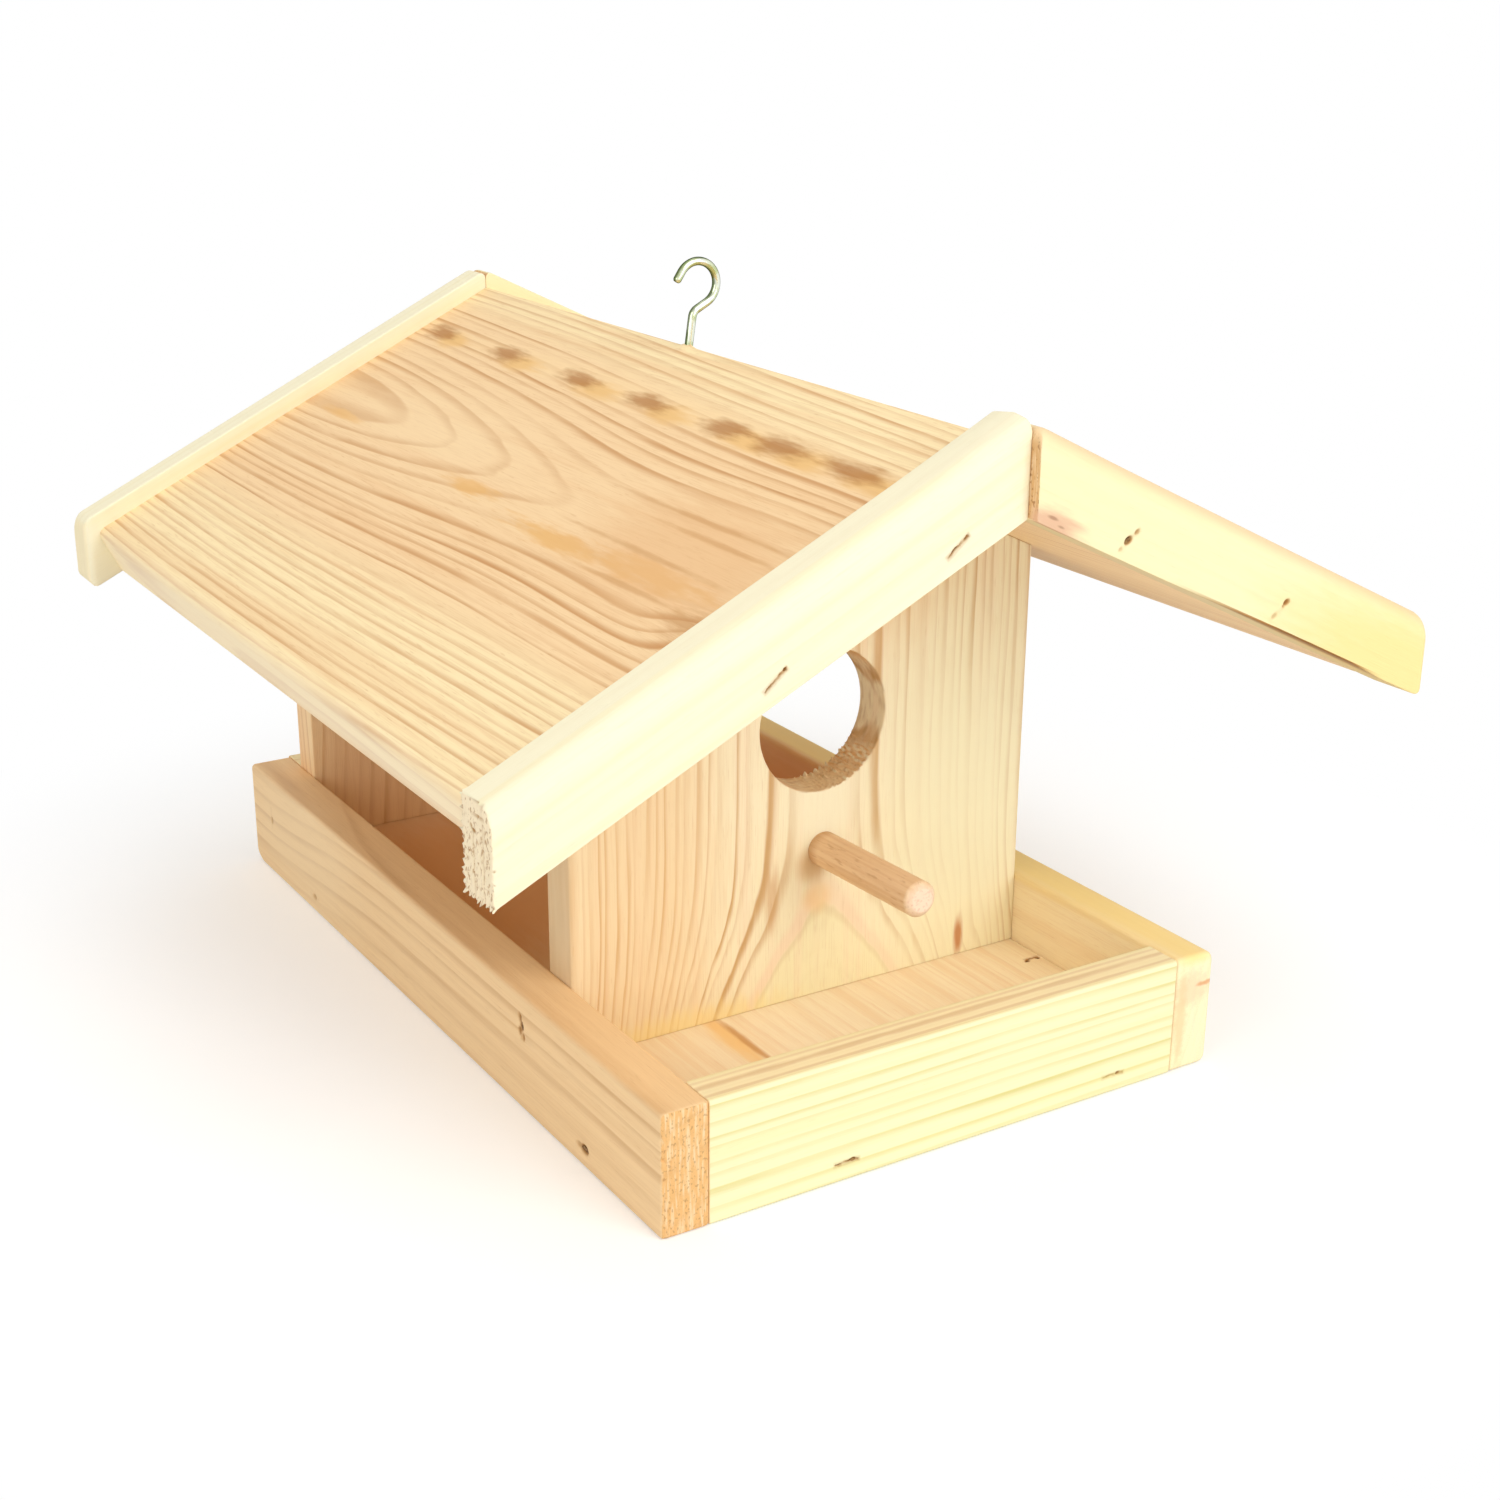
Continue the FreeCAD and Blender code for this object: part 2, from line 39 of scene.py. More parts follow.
# Floor of the tray: one pine board between the rails, its grain running from the porch to the rear.
# Planed on both faces, flush with the rails' lower edges and held by the staples through the rails; one
# small staple is driven into its top by the front wall's foot.
MM = 0.001
FLOOR_TOP = 15
INNER = 89
FLOOR_END = 152.5
PORCH_STAPLE = (84.8, -98.1, FLOOR_TOP)
STAPLE_FAR = np.array([0, 0.2, 0.4, 0.6, 0.85, 1.2, 1.7, 2.4])
STAPLE_LONG = np.array([0, 0.5, 1, 1.5, 2, 2.5, 3, 3.5, 3.9, 4.2, 4.5, 4.8, 5.3, 6])


def rounded_outline(corners, radii, cuts=None, steps=4, support=0.8):
    """Closed outline of a polygon whose corners run counter-clockwise, with each corner turned into an arc.
    An arc is its centre plus the radius times a unit vector that turns from one edge's normal to the next.
    Each straight edge has a point just past its arcs, and one at every distance that cuts lists for it,
    counted from the edge's first corner."""
    corners = np.asarray(corners, float)
    radii = np.broadcast_to(np.asarray(radii, float), len(corners))
    ahead = np.roll(corners, -1, 0) - corners
    lengths = np.linalg.norm(ahead, axis=1)
    ahead = ahead / lengths[:, None]
    outward = np.stack([ahead[:, 1], -ahead[:, 0]], 1)
    before = np.roll(outward, 1, 0)
    turn = np.arctan2(before[:, 0] * outward[:, 1] - before[:, 1] * outward[:, 0], (before * outward).sum(1))
    reach = radii * np.tan(turn / 2)
    centres = corners - (before + outward) * (radii / (1 + (before * outward).sum(1)))[:, None]
    points = []
    for index in range(len(corners)):
        angle = np.arctan2(before[index, 1], before[index, 0]) + turn[index] * np.linspace(0, 1, steps + 1)
        points.append(centres[index] + radii[index] * np.stack([np.cos(angle), np.sin(angle)], 1))
        first = reach[index]
        last = lengths[index] - reach[(index + 1) % len(corners)]
        places = np.asarray((cuts or {}).get(index, ()), float)
        places = places[(places > first + 0.05) & (places < last - 0.05)]
        inside = np.array([first + support, last - support]) if last - first > 3 * support else np.array([])
        places = np.unique(np.round(np.concatenate([places, inside]), 2))
        points.append(corners[index] + ahead[index] * places[:, None])
    return np.concatenate(points)


def section(low, high, top):
    """Corners of a square section that stands on zero."""
    return [(low, 0), (high, 0), (high, top), (low, top)]


def stations(start, end, radii, extra=(), spacing=14.0, steps=4, support=0.8):
    """Places along a board with the inset of its outline at each: a quarter circle of its own radius rounds
    either end, a support line follows it, and even spacing and the extra places fill the length between."""
    first, last = np.broadcast_to(np.asarray(radii, float), 2)
    angle = np.linspace(np.pi / 2, 0, steps + 1)
    ease, inset = 1 - np.sin(angle), 1 - np.cos(angle)
    middle = np.linspace(start + first + support, end - last - support, max(2, int((end - start) / spacing)))
    extra = np.asarray(extra, float)
    extra = extra[(extra > start + first + support) & (extra < end - last - support)]
    middle = np.unique(np.round(np.concatenate([middle, extra]), 2))
    along = np.concatenate([start + first * ease, middle, (end - last * ease)[::-1]])
    return along, np.concatenate([first * inset, np.zeros(len(middle)), (last * inset)[::-1]])


def capped(body, poles, cap):
    """Rings with more of them at both ends, which shrink to the two end points in equal steps."""
    share = np.linspace(0, 1, cap + 1)[1:-1, None, None]
    first = poles[0] + (body[0] - poles[0]) * share
    last = poles[1] + (body[-1] - poles[1]) * share[::-1]
    return np.concatenate([first, body, last])


def swept(points, along, inset, cap=3):
    """A board as one grid of rings: the outline carried along the length, its width and height both made
    smaller by twice the inset at each station, and capped at the outline's middle. Gives rings by points
    by (across, along, up), and the end points."""
    low, high = points.min(0), points.max(0)
    middle, half = (low + high) / 2, (high - low) / 2
    ring = middle + (points - middle) * (1 - inset[:, None, None] / half)
    body = np.stack([ring[..., 0], np.repeat(along[:, None], len(points), 1), ring[..., 1]], 2)
    poles = np.array([[middle[0], along[0], middle[1]], [middle[0], along[-1], middle[1]]])
    return capped(body, poles, cap), poles


def ring_faces(rings, count, closed=False):
    """Quads between neighbouring rings of a grid that closes on itself round each ring, and, if closed, from
    its last ring to its first."""
    index = np.arange(rings * count).reshape(rings, count)
    here, there = (index, np.roll(index, -1, 0)) if closed else (index[:-1], index[1:])
    return np.stack([here, np.roll(here, -1, 1), np.roll(there, -1, 1), there], 2).reshape(-1, 4)


def pole_faces(ring, pole):
    """Triangles from one ring of vertex numbers to one end point."""
    return np.stack([np.roll(ring, -1), ring, np.full(len(ring), pole)], 1)


def closed_board(grid, poles):
    """Vertices and faces of a swept board: the grid's quads, with a fan of triangles at each end point."""
    rings, count = grid.shape[:2]
    start, total = np.arange(count), rings * count
    fans = [pole_faces(start, total), pole_faces(start + total - count, total + 1)[:, ::-1]]
    return np.concatenate([grid.reshape(-1, 3), poles]), [ring_faces(rings, count), *fans]


def new_piece(name, vertices, faces, material, slot, replaced, body="house", bruise_and_shade=None):
    """Puts vertices in millimetres and faces into a mesh that rides on a body. Faces are turned outwards
    where the volume inside them, a sum of tetrahedra from the origin, comes out negative."""
    volume = 0.0
    for group in faces:
        a, b, c = (vertices[group[:, k]] for k in (0, 1, 2))
        volume += np.einsum("ij,ij->", a, np.cross(b, c))
        if group.shape[1] == 4:
            volume += np.einsum("ij,ij->", a, np.cross(c, vertices[group[:, 3]]))
    rows = [row for group in faces for row in (group if volume > 0 else group[:, ::-1]).tolist()]
    mesh = bpy.data.meshes.new(name)
    mesh.from_pydata((vertices * MM).tolist(), [], rows)
    mesh.polygons.foreach_set("use_smooth", np.ones(len(rows), bool))
    if bruise_and_shade is not None:
        mesh.attributes.new("bruise_and_shade", "FLOAT", "POINT").data.foreach_set("value", bruise_and_shade.astype(np.float32))
    mesh.materials.append(material)
    mesh.update()
    thing = bpy.data.objects.new(name, mesh)
    scene.collection.objects.link(thing)
    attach(thing, body)
    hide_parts(*replaced)


def ripple(places, size, seed, waves=20):
    """Smooth random field of about -1 to 1: the sum of sine waves of seeded direction, length and phase,
    their lengths lying around size."""
    rng = np.random.default_rng(seed)
    direction = rng.normal(size=(3, waves))
    direction /= np.linalg.norm(direction, axis=0) * size * rng.uniform(0.6, 1.7, waves)
    wave = np.sin(2 * np.pi * (places @ direction + rng.uniform(0, 1, waves)))
    return wave.sum(-1) / np.sqrt(2 * waves)


def both_ways(centre, steps):
    """Places at the given distances on both sides of a centre."""
    return np.concatenate([centre - steps[::-1], centre + steps[1:]])


def fall(value, reach, soft):
    """One up to a reach on both sides of zero, then a smooth step down to zero over a soft width."""
    share = np.clip((np.abs(value) - reach) / soft, 0, 1)
    return 1 - share * share * (3 - 2 * share)


def press(vertices, bruise_and_shade, centre, crown, out, seed, half=4.3, opening=1.0, pits=()):
    """Presses the slit of one staple into a face. In the face's own two directions the slit is the product
    of a fall along the crown and one across it, slightly bowed, wider towards one end, ragged and partly
    closed by a random field; a low lip of crushed fibres lies round it. Each pit (along, aside, size, dark)
    is a bell-shaped hole. Gives the moved vertices and how brown each vertex is: the lip is browned by
    crushing, while the slit and the pits go dark brown, partly as a stain from the damp steel and partly as
    painted shade in these hollows."""
    centre, crown, out = (np.asarray(value, float) for value in (centre, crown, out))
    offset = vertices - centre
    near = np.abs(offset @ out) < 0.6
    lengthwise = offset @ crown
    sideways = offset @ np.cross(out, crown)
    ragged = 0.16 * ripple(vertices, 2.4, seed)
    opened = np.clip(0.85 + 0.6 * ripple(vertices, 3.4, seed + 7), 0.2, 1)
    share = np.clip(lengthwise / half, -1, 1)
    bowed = sideways + ragged + 0.3 * (share ** 2 - 0.4)
    slit = fall(lengthwise, half - 0.2, 0.4) * fall(bowed, 0.22 + 0.12 * share, 0.3) * near * opened * opening
    lip = fall(lengthwise, half + 0.3, 0.8) * fall(sideways, 0.6, 1.0) * near * (1 - slit)
    # Painted shade: the slit and the pits are darkened as hollows in shade, on top of the damp steel's stain.
    lower, stain_and_shade = 0.75 * slit, slit + (0.12 + 0.24 * opening) * lip
    for along, aside, size, dark in pits:
        far = ((lengthwise - along) / size) ** 2 + ((sideways - aside) / (0.65 * size)) ** 2
        pit = np.exp(-far ** 2) * near
        lower, stain_and_shade = np.maximum(lower, 0.8 * dark * pit), np.maximum(stain_and_shade, dark * pit)
    moved = vertices + out * (0.12 * lip * (1 + 3 * ragged) - lower)[:, None]
    return moved, np.maximum(bruise_and_shade, np.clip(stain_and_shade, 0, 1.3))


def tone(red, green, blue):
    """Linear colour of a screen colour given from 0 to 255."""
    share = np.array([red, green, blue]) / 255
    linear = np.where(share <= 0.04045, share / 12.92, ((share + 0.055) / 1.055) ** 2.4)
    return (*linear.tolist(), 1.0)


class Flow:
    """What a shader node's socket puts out, so that formulas are written with the usual signs. Each sign adds
    a Math node, or a Vector Math node where the socket carries a vector or a colour."""

    def __init__(self, socket):
        self.socket, self.tree = socket, socket.id_data

    def math(self, operation, *others):
        """Result of one operation on this and the others."""
        kind = "Math" if self.socket.type == "VALUE" else "VectorMath"
        [made] = add(self.tree, kind, dict(enumerate((self, *others))), operation=operation).values()
        return made

    def parts(self):
        """The three numbers of a vector."""
        return list(add(self.tree, "SeparateXYZ", {0: self}).values())

    def __add__(self, other):
        return self.math("ADD", other)

    def __sub__(self, other):
        return self.math("SUBTRACT", other)

    def __mul__(self, other):
        return self.math("MULTIPLY", other)

    def __truediv__(self, other):
        return self.math("DIVIDE", other)


def feed(node, inputs):
    """Sets a node's named or numbered inputs to values, or links flows to them."""
    for name, value in inputs.items():
        if isinstance(value, Flow):
            node.id_data.links.new(value.socket, node.inputs[name])
        else:
            node.inputs[name].default_value = value


def add(tree, kind, inputs=None, **settings):
    """One shader node with its settings made and its inputs fed. Gives what its outputs in use put out, by name."""
    made = tree.nodes.new("ShaderNode" + kind)
    for name, value in settings.items():
        setattr(made, name, value)
    feed(made, inputs or {})
    return {socket.name: Flow(socket) for socket in made.outputs if socket.enabled}


def step(value, low, high, start=0.0, end=1.0):
    """Smooth step of a value from start, at low, to end, at high."""
    inputs = {"Value": value, "From Min": low, "From Max": high, "To Min": start, "To Max": end}
    return add(value.tree, "MapRange", inputs, interpolation_type="SMOOTHSTEP")["Result"]


def blend(share, first, second):
    """Colour mixed from two by a share. The Mix node takes colours at its inputs 6 and 7."""
    return add(share.tree, "Mix", {0: share, 6: first, 7: second}, data_type="RGBA")["Result"]


def new_group(name, inputs, outputs):
    """Empty shader node group with sockets listed by kind. Gives its tree, what its inputs put out by name,
    and its output node."""
    tree = bpy.data.node_groups.new(name, "ShaderNodeTree")
    for in_out, kinds in (("INPUT", inputs), ("OUTPUT", outputs)):
        for kind, labels in kinds.items():
            for label in labels:
                tree.interface.new_socket(label, in_out=in_out, socket_type="NodeSocket" + kind)
    given = {socket.name: Flow(socket) for socket in tree.nodes.new("NodeGroupInput").outputs}
    return tree, given, tree.nodes.new("NodeGroupOutput")


def new_material(name):
    """New material. Gives it, its shader node, and its Object coordinates and Normal."""
    material = bpy.data.materials.new(name)
    material.use_nodes = True
    place = add(material.node_tree, "TexCoord")
    return material, material.node_tree.nodes["Principled BSDF"], place["Object"], place["Normal"]


def noise(place, scale, detail):
    """What a noise texture over place puts out, by name."""
    return add(place.tree, "TexNoise", {"Vector": place, "Scale": scale, "Detail": detail})


def field(place, seed, size, detail=2):
    """Noise over place with a separate wavelength in each direction."""
    return noise(place / size + seed, 1, detail)["Fac"]


def hill(place, centre, size):
    """Bell curve of the distance from a centre, counted in sizes."""
    offset = (place - centre) / size
    return (offset.math("DOT_PRODUCT", offset) * -1).math("EXPONENT")


def bumped(height, strength, distance):
    """Normal bent by a height."""
    return add(height.tree, "Bump", {"Height": height, "Strength": strength, "Distance": distance})["Normal"]


# Pine as a solid: growth rings round a pith line that leans against the board, so that faces, edges and
# end grain all show cuts through the same rings. Place is across, along the grain and deep, in millimetres.
pine, given, result = new_group("pine", {
    "Vector": ["Place", "Seed", "Pith", "Knot", "Knot Size", "Swell", "Swell Size"],
    "Float": ["Lean", "Drift", "Ring", "Wander", "Wobble", "Knot Lift", "Swell Lift", "Core", "Heart", "Heart Edge",
              "Heart Late", "Rim", "Late", "Flat", "Streak", "Fibre", "End", "Pits"],
    "Color": ["Heart Color", "Sap Color", "Late Color", "Streak Color", "End Color"]},
    {"Color": ["Color"], "Float": ["Roughness", "Height"]})
place, seed, cut, brown = given["Place"], given["Seed"], given["End"], given["Late Color"]
x, y, z = place.parts()
pith_x, _, pith_z = given["Pith"].parts()
sway_x, sway_z, _ = (noise(place / (60, 380, 60) + seed, 1, 1)["Color"] - (0.5, 0.5, 0.5)).parts()
quick = field(place, seed, (6, 80, 6))
across = x - pith_x + y * given["Drift"] + sway_x * given["Wander"]
deep = z - pith_z + y * given["Lean"] + sway_z * given["Wander"]
radius = (across * across + deep * deep).math("SQRT")
steep = across.math("ABSOLUTE") / radius
radius = radius + (quick - 0.5) * given["Wobble"]
for label in ("Knot", "Swell"):
    radius = radius + hill(place, given[label], given[label + " Size"]) * given[label + " Lift"]
# A core widens the rings near the pith, and a one-way noise makes them uneven
turns = (radius * radius + given["Core"] * given["Core"]).math("SQRT") / given["Ring"]
uneven = add(pine, "TexNoise", {"W": turns * 0.4, "Scale": 1, "Detail": 1}, noise_dimensions="1D")["Fac"]
turns = turns + uneven * 1.4
chance = add(pine, "TexWhiteNoise", {"W": turns.math("FLOOR")}, noise_dimensions="1D")["Value"]
chance = chance.math("MULTIPLY_ADD", 0.75, 0.25)
share = turns.math("FRACT")
# Late wood: the dark side of each ring, fading in slowly and out at once
late = step(share, step(steep, 0.05, 0.6, 0.66, 0.36), 0.9).math("POWER", 1.2) * step(share, 0.9, 1, 1, 0)
late = late * step(quick, 0.3, 0.6, 0.45, 1) * chance
late = late * step(steep, 0.05, 0.5, given["Flat"], 1) * step(cut, 0, 1, 1, 0.45)
streak = field(place, seed, (5, 260, 5))
fibre = field(place, seed, (0.45, 16, 0.45))
pores = step(field(place, seed, (0.42, 7, 0.42), 1), 0.66, 0.76)
saw = field(place, seed, (0.9, 60, 9), 3)
pits = step(field(place, seed, (0.9, 40, 1.3), 1), 0.56, 0.68)
# Heartwood inside a ring, with a rim of streak colour outside its edge and a thin dark line inside it
edge = (radius - given["Heart"]) / given["Heart Edge"]
late = late * step(edge, -1, 5.5, given["Heart Late"], 0.95)
rim = step(edge, -0.3, 0.6) * step(edge, 1.6, 3.6, 1, 0)
line = step(edge, -1.6, -0.3) * step(edge, -0.2, 0.4, 1, 0)
color = blend(step(edge, -1, 1), given["Heart Color"], given["Sap Color"])
for cover, tint in (
        (rim * given["Rim"], given["Streak Color"]),
        (line * (given["Rim"] * 0.3), brown),
        (step(streak, 0.48, 0.72) * given["Streak"], given["Streak Color"]),
        (cut, given["End Color"]),
        (late * given["Late"], brown),
        (step(fibre, 0.42, 0.75) * given["Fibre"], brown),
        (pores * (given["Fibre"] * 1.3), brown),
        (step(saw, 0.45, 0.68) * (cut * 0.5), tone(255, 236, 200)),
        (pits * (cut * given["Pits"]), tone(170, 122, 74))):
    color = blend(cover, color, tint)
feed(result, {"Color": color, "Roughness": late.math("MULTIPLY_ADD", -0.1, 0.64) + cut * 0.15,
              "Height": late * 0.55 + fibre * 0.55 + saw * cut - pores * 0.5})

# A stain, streak of resin or knot on the wood, or a patch of painted shade or light: a soft oval with a ragged edge,
# laid over a colour.
mark, given, result = new_group("mark", {
    "Vector": ["Place", "Centre", "Size"], "Float": ["Torn", "Amount", "Ragged"], "Color": ["Color", "Tint"]},
    {"Color": ["Color"]})
spread = ((given["Place"] - given["Centre"]) / given["Size"]).math("LENGTH") + given["Torn"] * given["Ragged"]
cover = step(spread, 0.25, 1, 1, 0) * given["Amount"]
feed(result, {"Color": blend(cover, given["Color"], given["Tint"])})

PINE = dict(
    Pith=(0, 0, -80), Lean=0.02, Drift=0, Ring=2.6, Wander=5, Wobble=0.8, Knot_Size=(9, 9, 9), Knot_Lift=0,
    Swell_Size=(9, 9, 9), Swell_Lift=0, Core=0, Heart=100, Heart_Edge=12, Heart_Late=1, Rim=0,
    Heart_Color=(250, 216, 168), Sap_Color=(254, 230, 180), Late_Color=(202, 144, 84), Late=0.6, Flat=0.45,
    Streak_Color=(238, 194, 142), Streak=0.3, Fibre=0.12, End_Color=(240, 196, 140), Pits=0.2)


def in_millimetres(place, turn, shift=(0, 0, 0)):
    """Place in millimetres, turned by degrees about the three axes and shifted."""
    inputs = {"Vector": place, "Location": shift, "Rotation": np.radians(turn).tolist(), "Scale": (1000, 1000, 1000)}
    return add(place.tree, "Mapping", inputs)["Vector"]


def pine_board(name, turn, shift, grain, marks=(), **values):
    """Material of one board: Object coordinates turned and shifted to across, along and deep, the rings
    cut there, then its marks, some of them painted shade or light, and the bruises round its staples, which
    also carry painted shade. Grain is the unit vector along the board, a mark is (centre, size, tint, amount,
    ragged), and the values are changes to usual pine."""
    material, shader, place, normal = new_material(name)
    tree = material.node_tree
    board = in_millimetres(place, turn, shift)
    end = normal.math("DOT_PRODUCT", grain).math("ABSOLUTE")
    inputs = {"Place": board, "End": step(end, 0.5, 0.85)}
    for label, value in {**PINE, **values}.items():
        inputs[label.replace("_", " ")] = tone(*value) if label.endswith("Color") else value
    wood = add(tree, "Group", inputs, node_tree=pine)
    color = wood["Color"]
    if marks:
        torn = field(board, values["Seed"], (2.2, 14, 2.2), 3) - 0.5
    for centre, size, tint, amount, ragged in marks:
        color = add(tree, "Group", {
            "Color": color, "Place": board, "Torn": torn, "Centre": centre, "Size": size, "Tint": tone(*tint),
            "Amount": amount, "Ragged": ragged}, node_tree=mark)["Color"]
    # Browning from the vertex attribute: crushed fibres round the staples, and painted shade in staple slits, pits
    # and the right front barge's gap and underside; past 0.95 it goes near-black.
    bruise_and_shade = add(tree, "Attribute", attribute_name="bruise_and_shade")["Fac"]
    color = blend(step(bruise_and_shade, 0, 1), color, tone(172, 122, 64))
    color = blend(step(bruise_and_shade, 0.95, 1.3), color, tone(90, 54, 22))
    feed(shader, {"Base Color": color, "Roughness": wood["Roughness"], "Specular IOR Level": 0.25,
                  "Normal": bumped(wood["Height"], 0.35, 0.0003)})
    return material


floor_wood = pine_board(
    "floor_pine", (0, 0, 0), (0, 0, -FLOOR_TOP), (0, 1, 0),
    # Painted shade: the floor inside the house, behind the front wall, is darkened.
    [((0, 62, 0), (400, 145, 60), (226, 168, 112), 0.95, 0.1),
     ((-38, -96, 0), (6, 30, 6), (250, 206, 132), 0.75, 0.6),
     ((-34.5, -98, 0), (2, 28, 6), (200, 138, 70), 0.7, 0.9)],
    Seed=(3.1, 7.7, 1.2), Pith=(-60, 0, -70), Ring=3, Late=0.25, Fibre=0.14, Heart_Color=(255, 240, 208),
    Sap_Color=(255, 238, 204), Late_Color=(226, 174, 126))
outline = rounded_outline(
    section(-INNER, INNER, FLOOR_TOP), 0.5,
    {2: np.concatenate([np.linspace(10, 168, 12), INNER - both_ways(PORCH_STAPLE[0], STAPLE_LONG * 0.65)])})
along = stations(-FLOOR_END, FLOOR_END, 0.5, both_ways(PORCH_STAPLE[1], STAPLE_FAR))
vertices, faces = closed_board(*swept(outline, *along))
vertices, bruise_and_shade = press(
    vertices, np.zeros(len(vertices)), PORCH_STAPLE, (1, 0, 0), (0, 0, 1), 35, 2.75, 1.0,
    [(-2.4, -0.8, 1.1, 1.2), (0, 0.3, 1.1, 0.9), (2.4, -0.5, 1.1, 1.3)])
new_piece("tray_floor", vertices, faces, floor_wood, "pine", ["floor_board"], bruise_and_shade=bruise_and_shade)

# Rails of the tray: planed pine strips on edge round the floor, the side rails running the whole length and
# the end rails fitted between them. Their arrises are broken by hand sanding, and the staples that hold
# them to the floor and the walls are driven below the surface, which leaves slits with crushed lips.
RAIL_TOP = 41
OUTER = 105
TRAY_END = 166.5
LOW_STAPLE = 6.3
FRONT_WALL_STAPLE, REAR_WALL_STAPLE = 29.6, 24.1


def rail(name, wood, replaced, low, high, radii, length, end_round, staples, turned=False, cuts=None, cap=3,
         places=(), rough=None):
    """One rail: the outline of its section, from low to high, swept along its length, with its staples pressed
    in. A turned rail lies along X and its section is in Y and Z. Places are more stations along it, and rough,
    if given, changes the finished vertices and bruise."""
    axis = 0 if turned else 1
    extra = [both_ways(centre[axis], STAPLE_LONG if abs(crown[axis]) > 0.5 else STAPLE_FAR)
             for centre, crown, out, opening, pits in staples] + [np.asarray(places, float)]
    along = stations(-length, length, end_round, np.concatenate(extra))
    outline = rounded_outline(section(low, high, RAIL_TOP), radii, cuts)
    vertices, faces = closed_board(*swept(outline, *along, cap))
    if turned:
        vertices = vertices[:, [1, 0, 2]]
    bruise_and_shade = np.zeros(len(vertices))
    for number, (centre, crown, out, opening, pits) in enumerate(staples):
        vertices, bruise_and_shade = press(vertices, bruise_and_shade, centre, crown, out, 40 + number, opening=opening, pits=pits)
    if rough:
        vertices, bruise_and_shade = rough(vertices, bruise_and_shade)
    new_piece(name, vertices, faces, wood, "pine", [replaced], bruise_and_shade=bruise_and_shade)


FLAT_Z = both_ways(LOW_STAPLE, STAPLE_FAR)
side_cuts = np.concatenate(
    [FLAT_Z, both_ways(FRONT_WALL_STAPLE, STAPLE_LONG), both_ways(REAR_WALL_STAPLE, STAPLE_LONG)])
left_wood = pine_board(
    "left_rail_pine", (0, 0, 0), (OUTER, 0, 0), (0, 1, 0),
    [((0, 112, 22), (14, 75, 40), (255, 228, 184), 0.4, 0.4)],
    Seed=(1.4, 2.2, 9.1), Pith=(40, 0, -64), Lean=0.012, Drift=0.01, Ring=7, Late=0.54, Flat=0.9,
    Swell=(0, 150, 20), Swell_Size=(60, 70, 40), Swell_Lift=9, Heart=400, Heart_Color=(249, 214, 164),
    Late_Color=(194, 142, 86), Wander=8, Wobble=1.6, Pits=0.5, End_Color=(238, 188, 124),
    Streak_Color=(228, 184, 130))
left_staples = [
    ((-OUTER, -118.2, LOW_STAPLE), (0, 1, 0), (-1, 0, 0), 0.2, [(-0.8, 0.1, 2.6, 1.3), (2.2, -0.2, 2, 0.6)]),
    ((-OUTER, 101.9, LOW_STAPLE), (0, 1, 0), (-1, 0, 0), 0.1, [(0, 0.1, 2.1, 0.6)]),
    ((-OUTER, -77.5, FRONT_WALL_STAPLE), (0, 0, 1), (-1, 0, 0), 0.4,
     [(3, 0.8, 1.7, 1.1), (0.4, -0.3, 1.8, 1.2), (-1.8, 1.2, 1.6, 1.1), (-3.2, -1.3, 1.5, 0.9)]),
    ((-OUTER, 145, REAR_WALL_STAPLE), (0, 0, 1), (-1, 0, 0), 0.08, [(-1, 0, 1.9, 0.55)])]


def quarter(distance, radius):
    """How far a rounded corner lies inside its square one at a distance from the corner's end."""
    short = np.clip(radius - distance, 0, radius)
    return radius - np.sqrt(np.maximum(radius ** 2 - short ** 2, 0))


def torn_end(vertices, bruise_and_shade):
    """Ends of the left rail. On the saw-cut front one, slanting rows of pits deepen towards the outer edge,
    where torn fibres also make the corner wavy; the rear one is worn round, more at its foot than on top."""
    near = np.clip((-TRAY_END + 1.2 - vertices[:, 1]) / 1.0, 0, 1)
    outer = np.clip((-OUTER + 5 - vertices[:, 0]) / 5, 0, 1)
    slant = vertices * [1, 0.2, 0.5] + vertices[:, 2:] * [0.25, 0, 0]
    pits = np.clip(ripple(slant, 1.3, 71) - 0.3, 0, 2)
    moved = vertices.copy()
    moved[:, 1] += near * pits * (0.14 + 0.6 * outer)
    moved[:, 0] += 0.5 * near * outer * np.clip(ripple(vertices, 2.6, 73), 0, 2)
    behind, high = TRAY_END - vertices[:, 1], vertices[:, 2] / RAIL_TOP
    moved[:, 2] += quarter(behind, 8.5) * (1 - high) ** 4 - quarter(behind, 3.6) * high ** 4
    return moved, np.maximum(bruise_and_shade, 0.25 * near * np.clip(pits, 0, 1.4))


rail("side_rail_left", left_wood, "left_rail", -OUTER, -INNER, [1.1, 0.9, 0.9, 1.4], TRAY_END, (0.9, 2.2),
     left_staples, cap=22, places=TRAY_END - np.arange(3.2, 9.5, 0.5), rough=torn_end,
     cuts={3: RAIL_TOP - side_cuts, 0: np.linspace(2, 14, 9), 2: np.linspace(2, 14, 9), 1: np.linspace(2, 39, 24)})

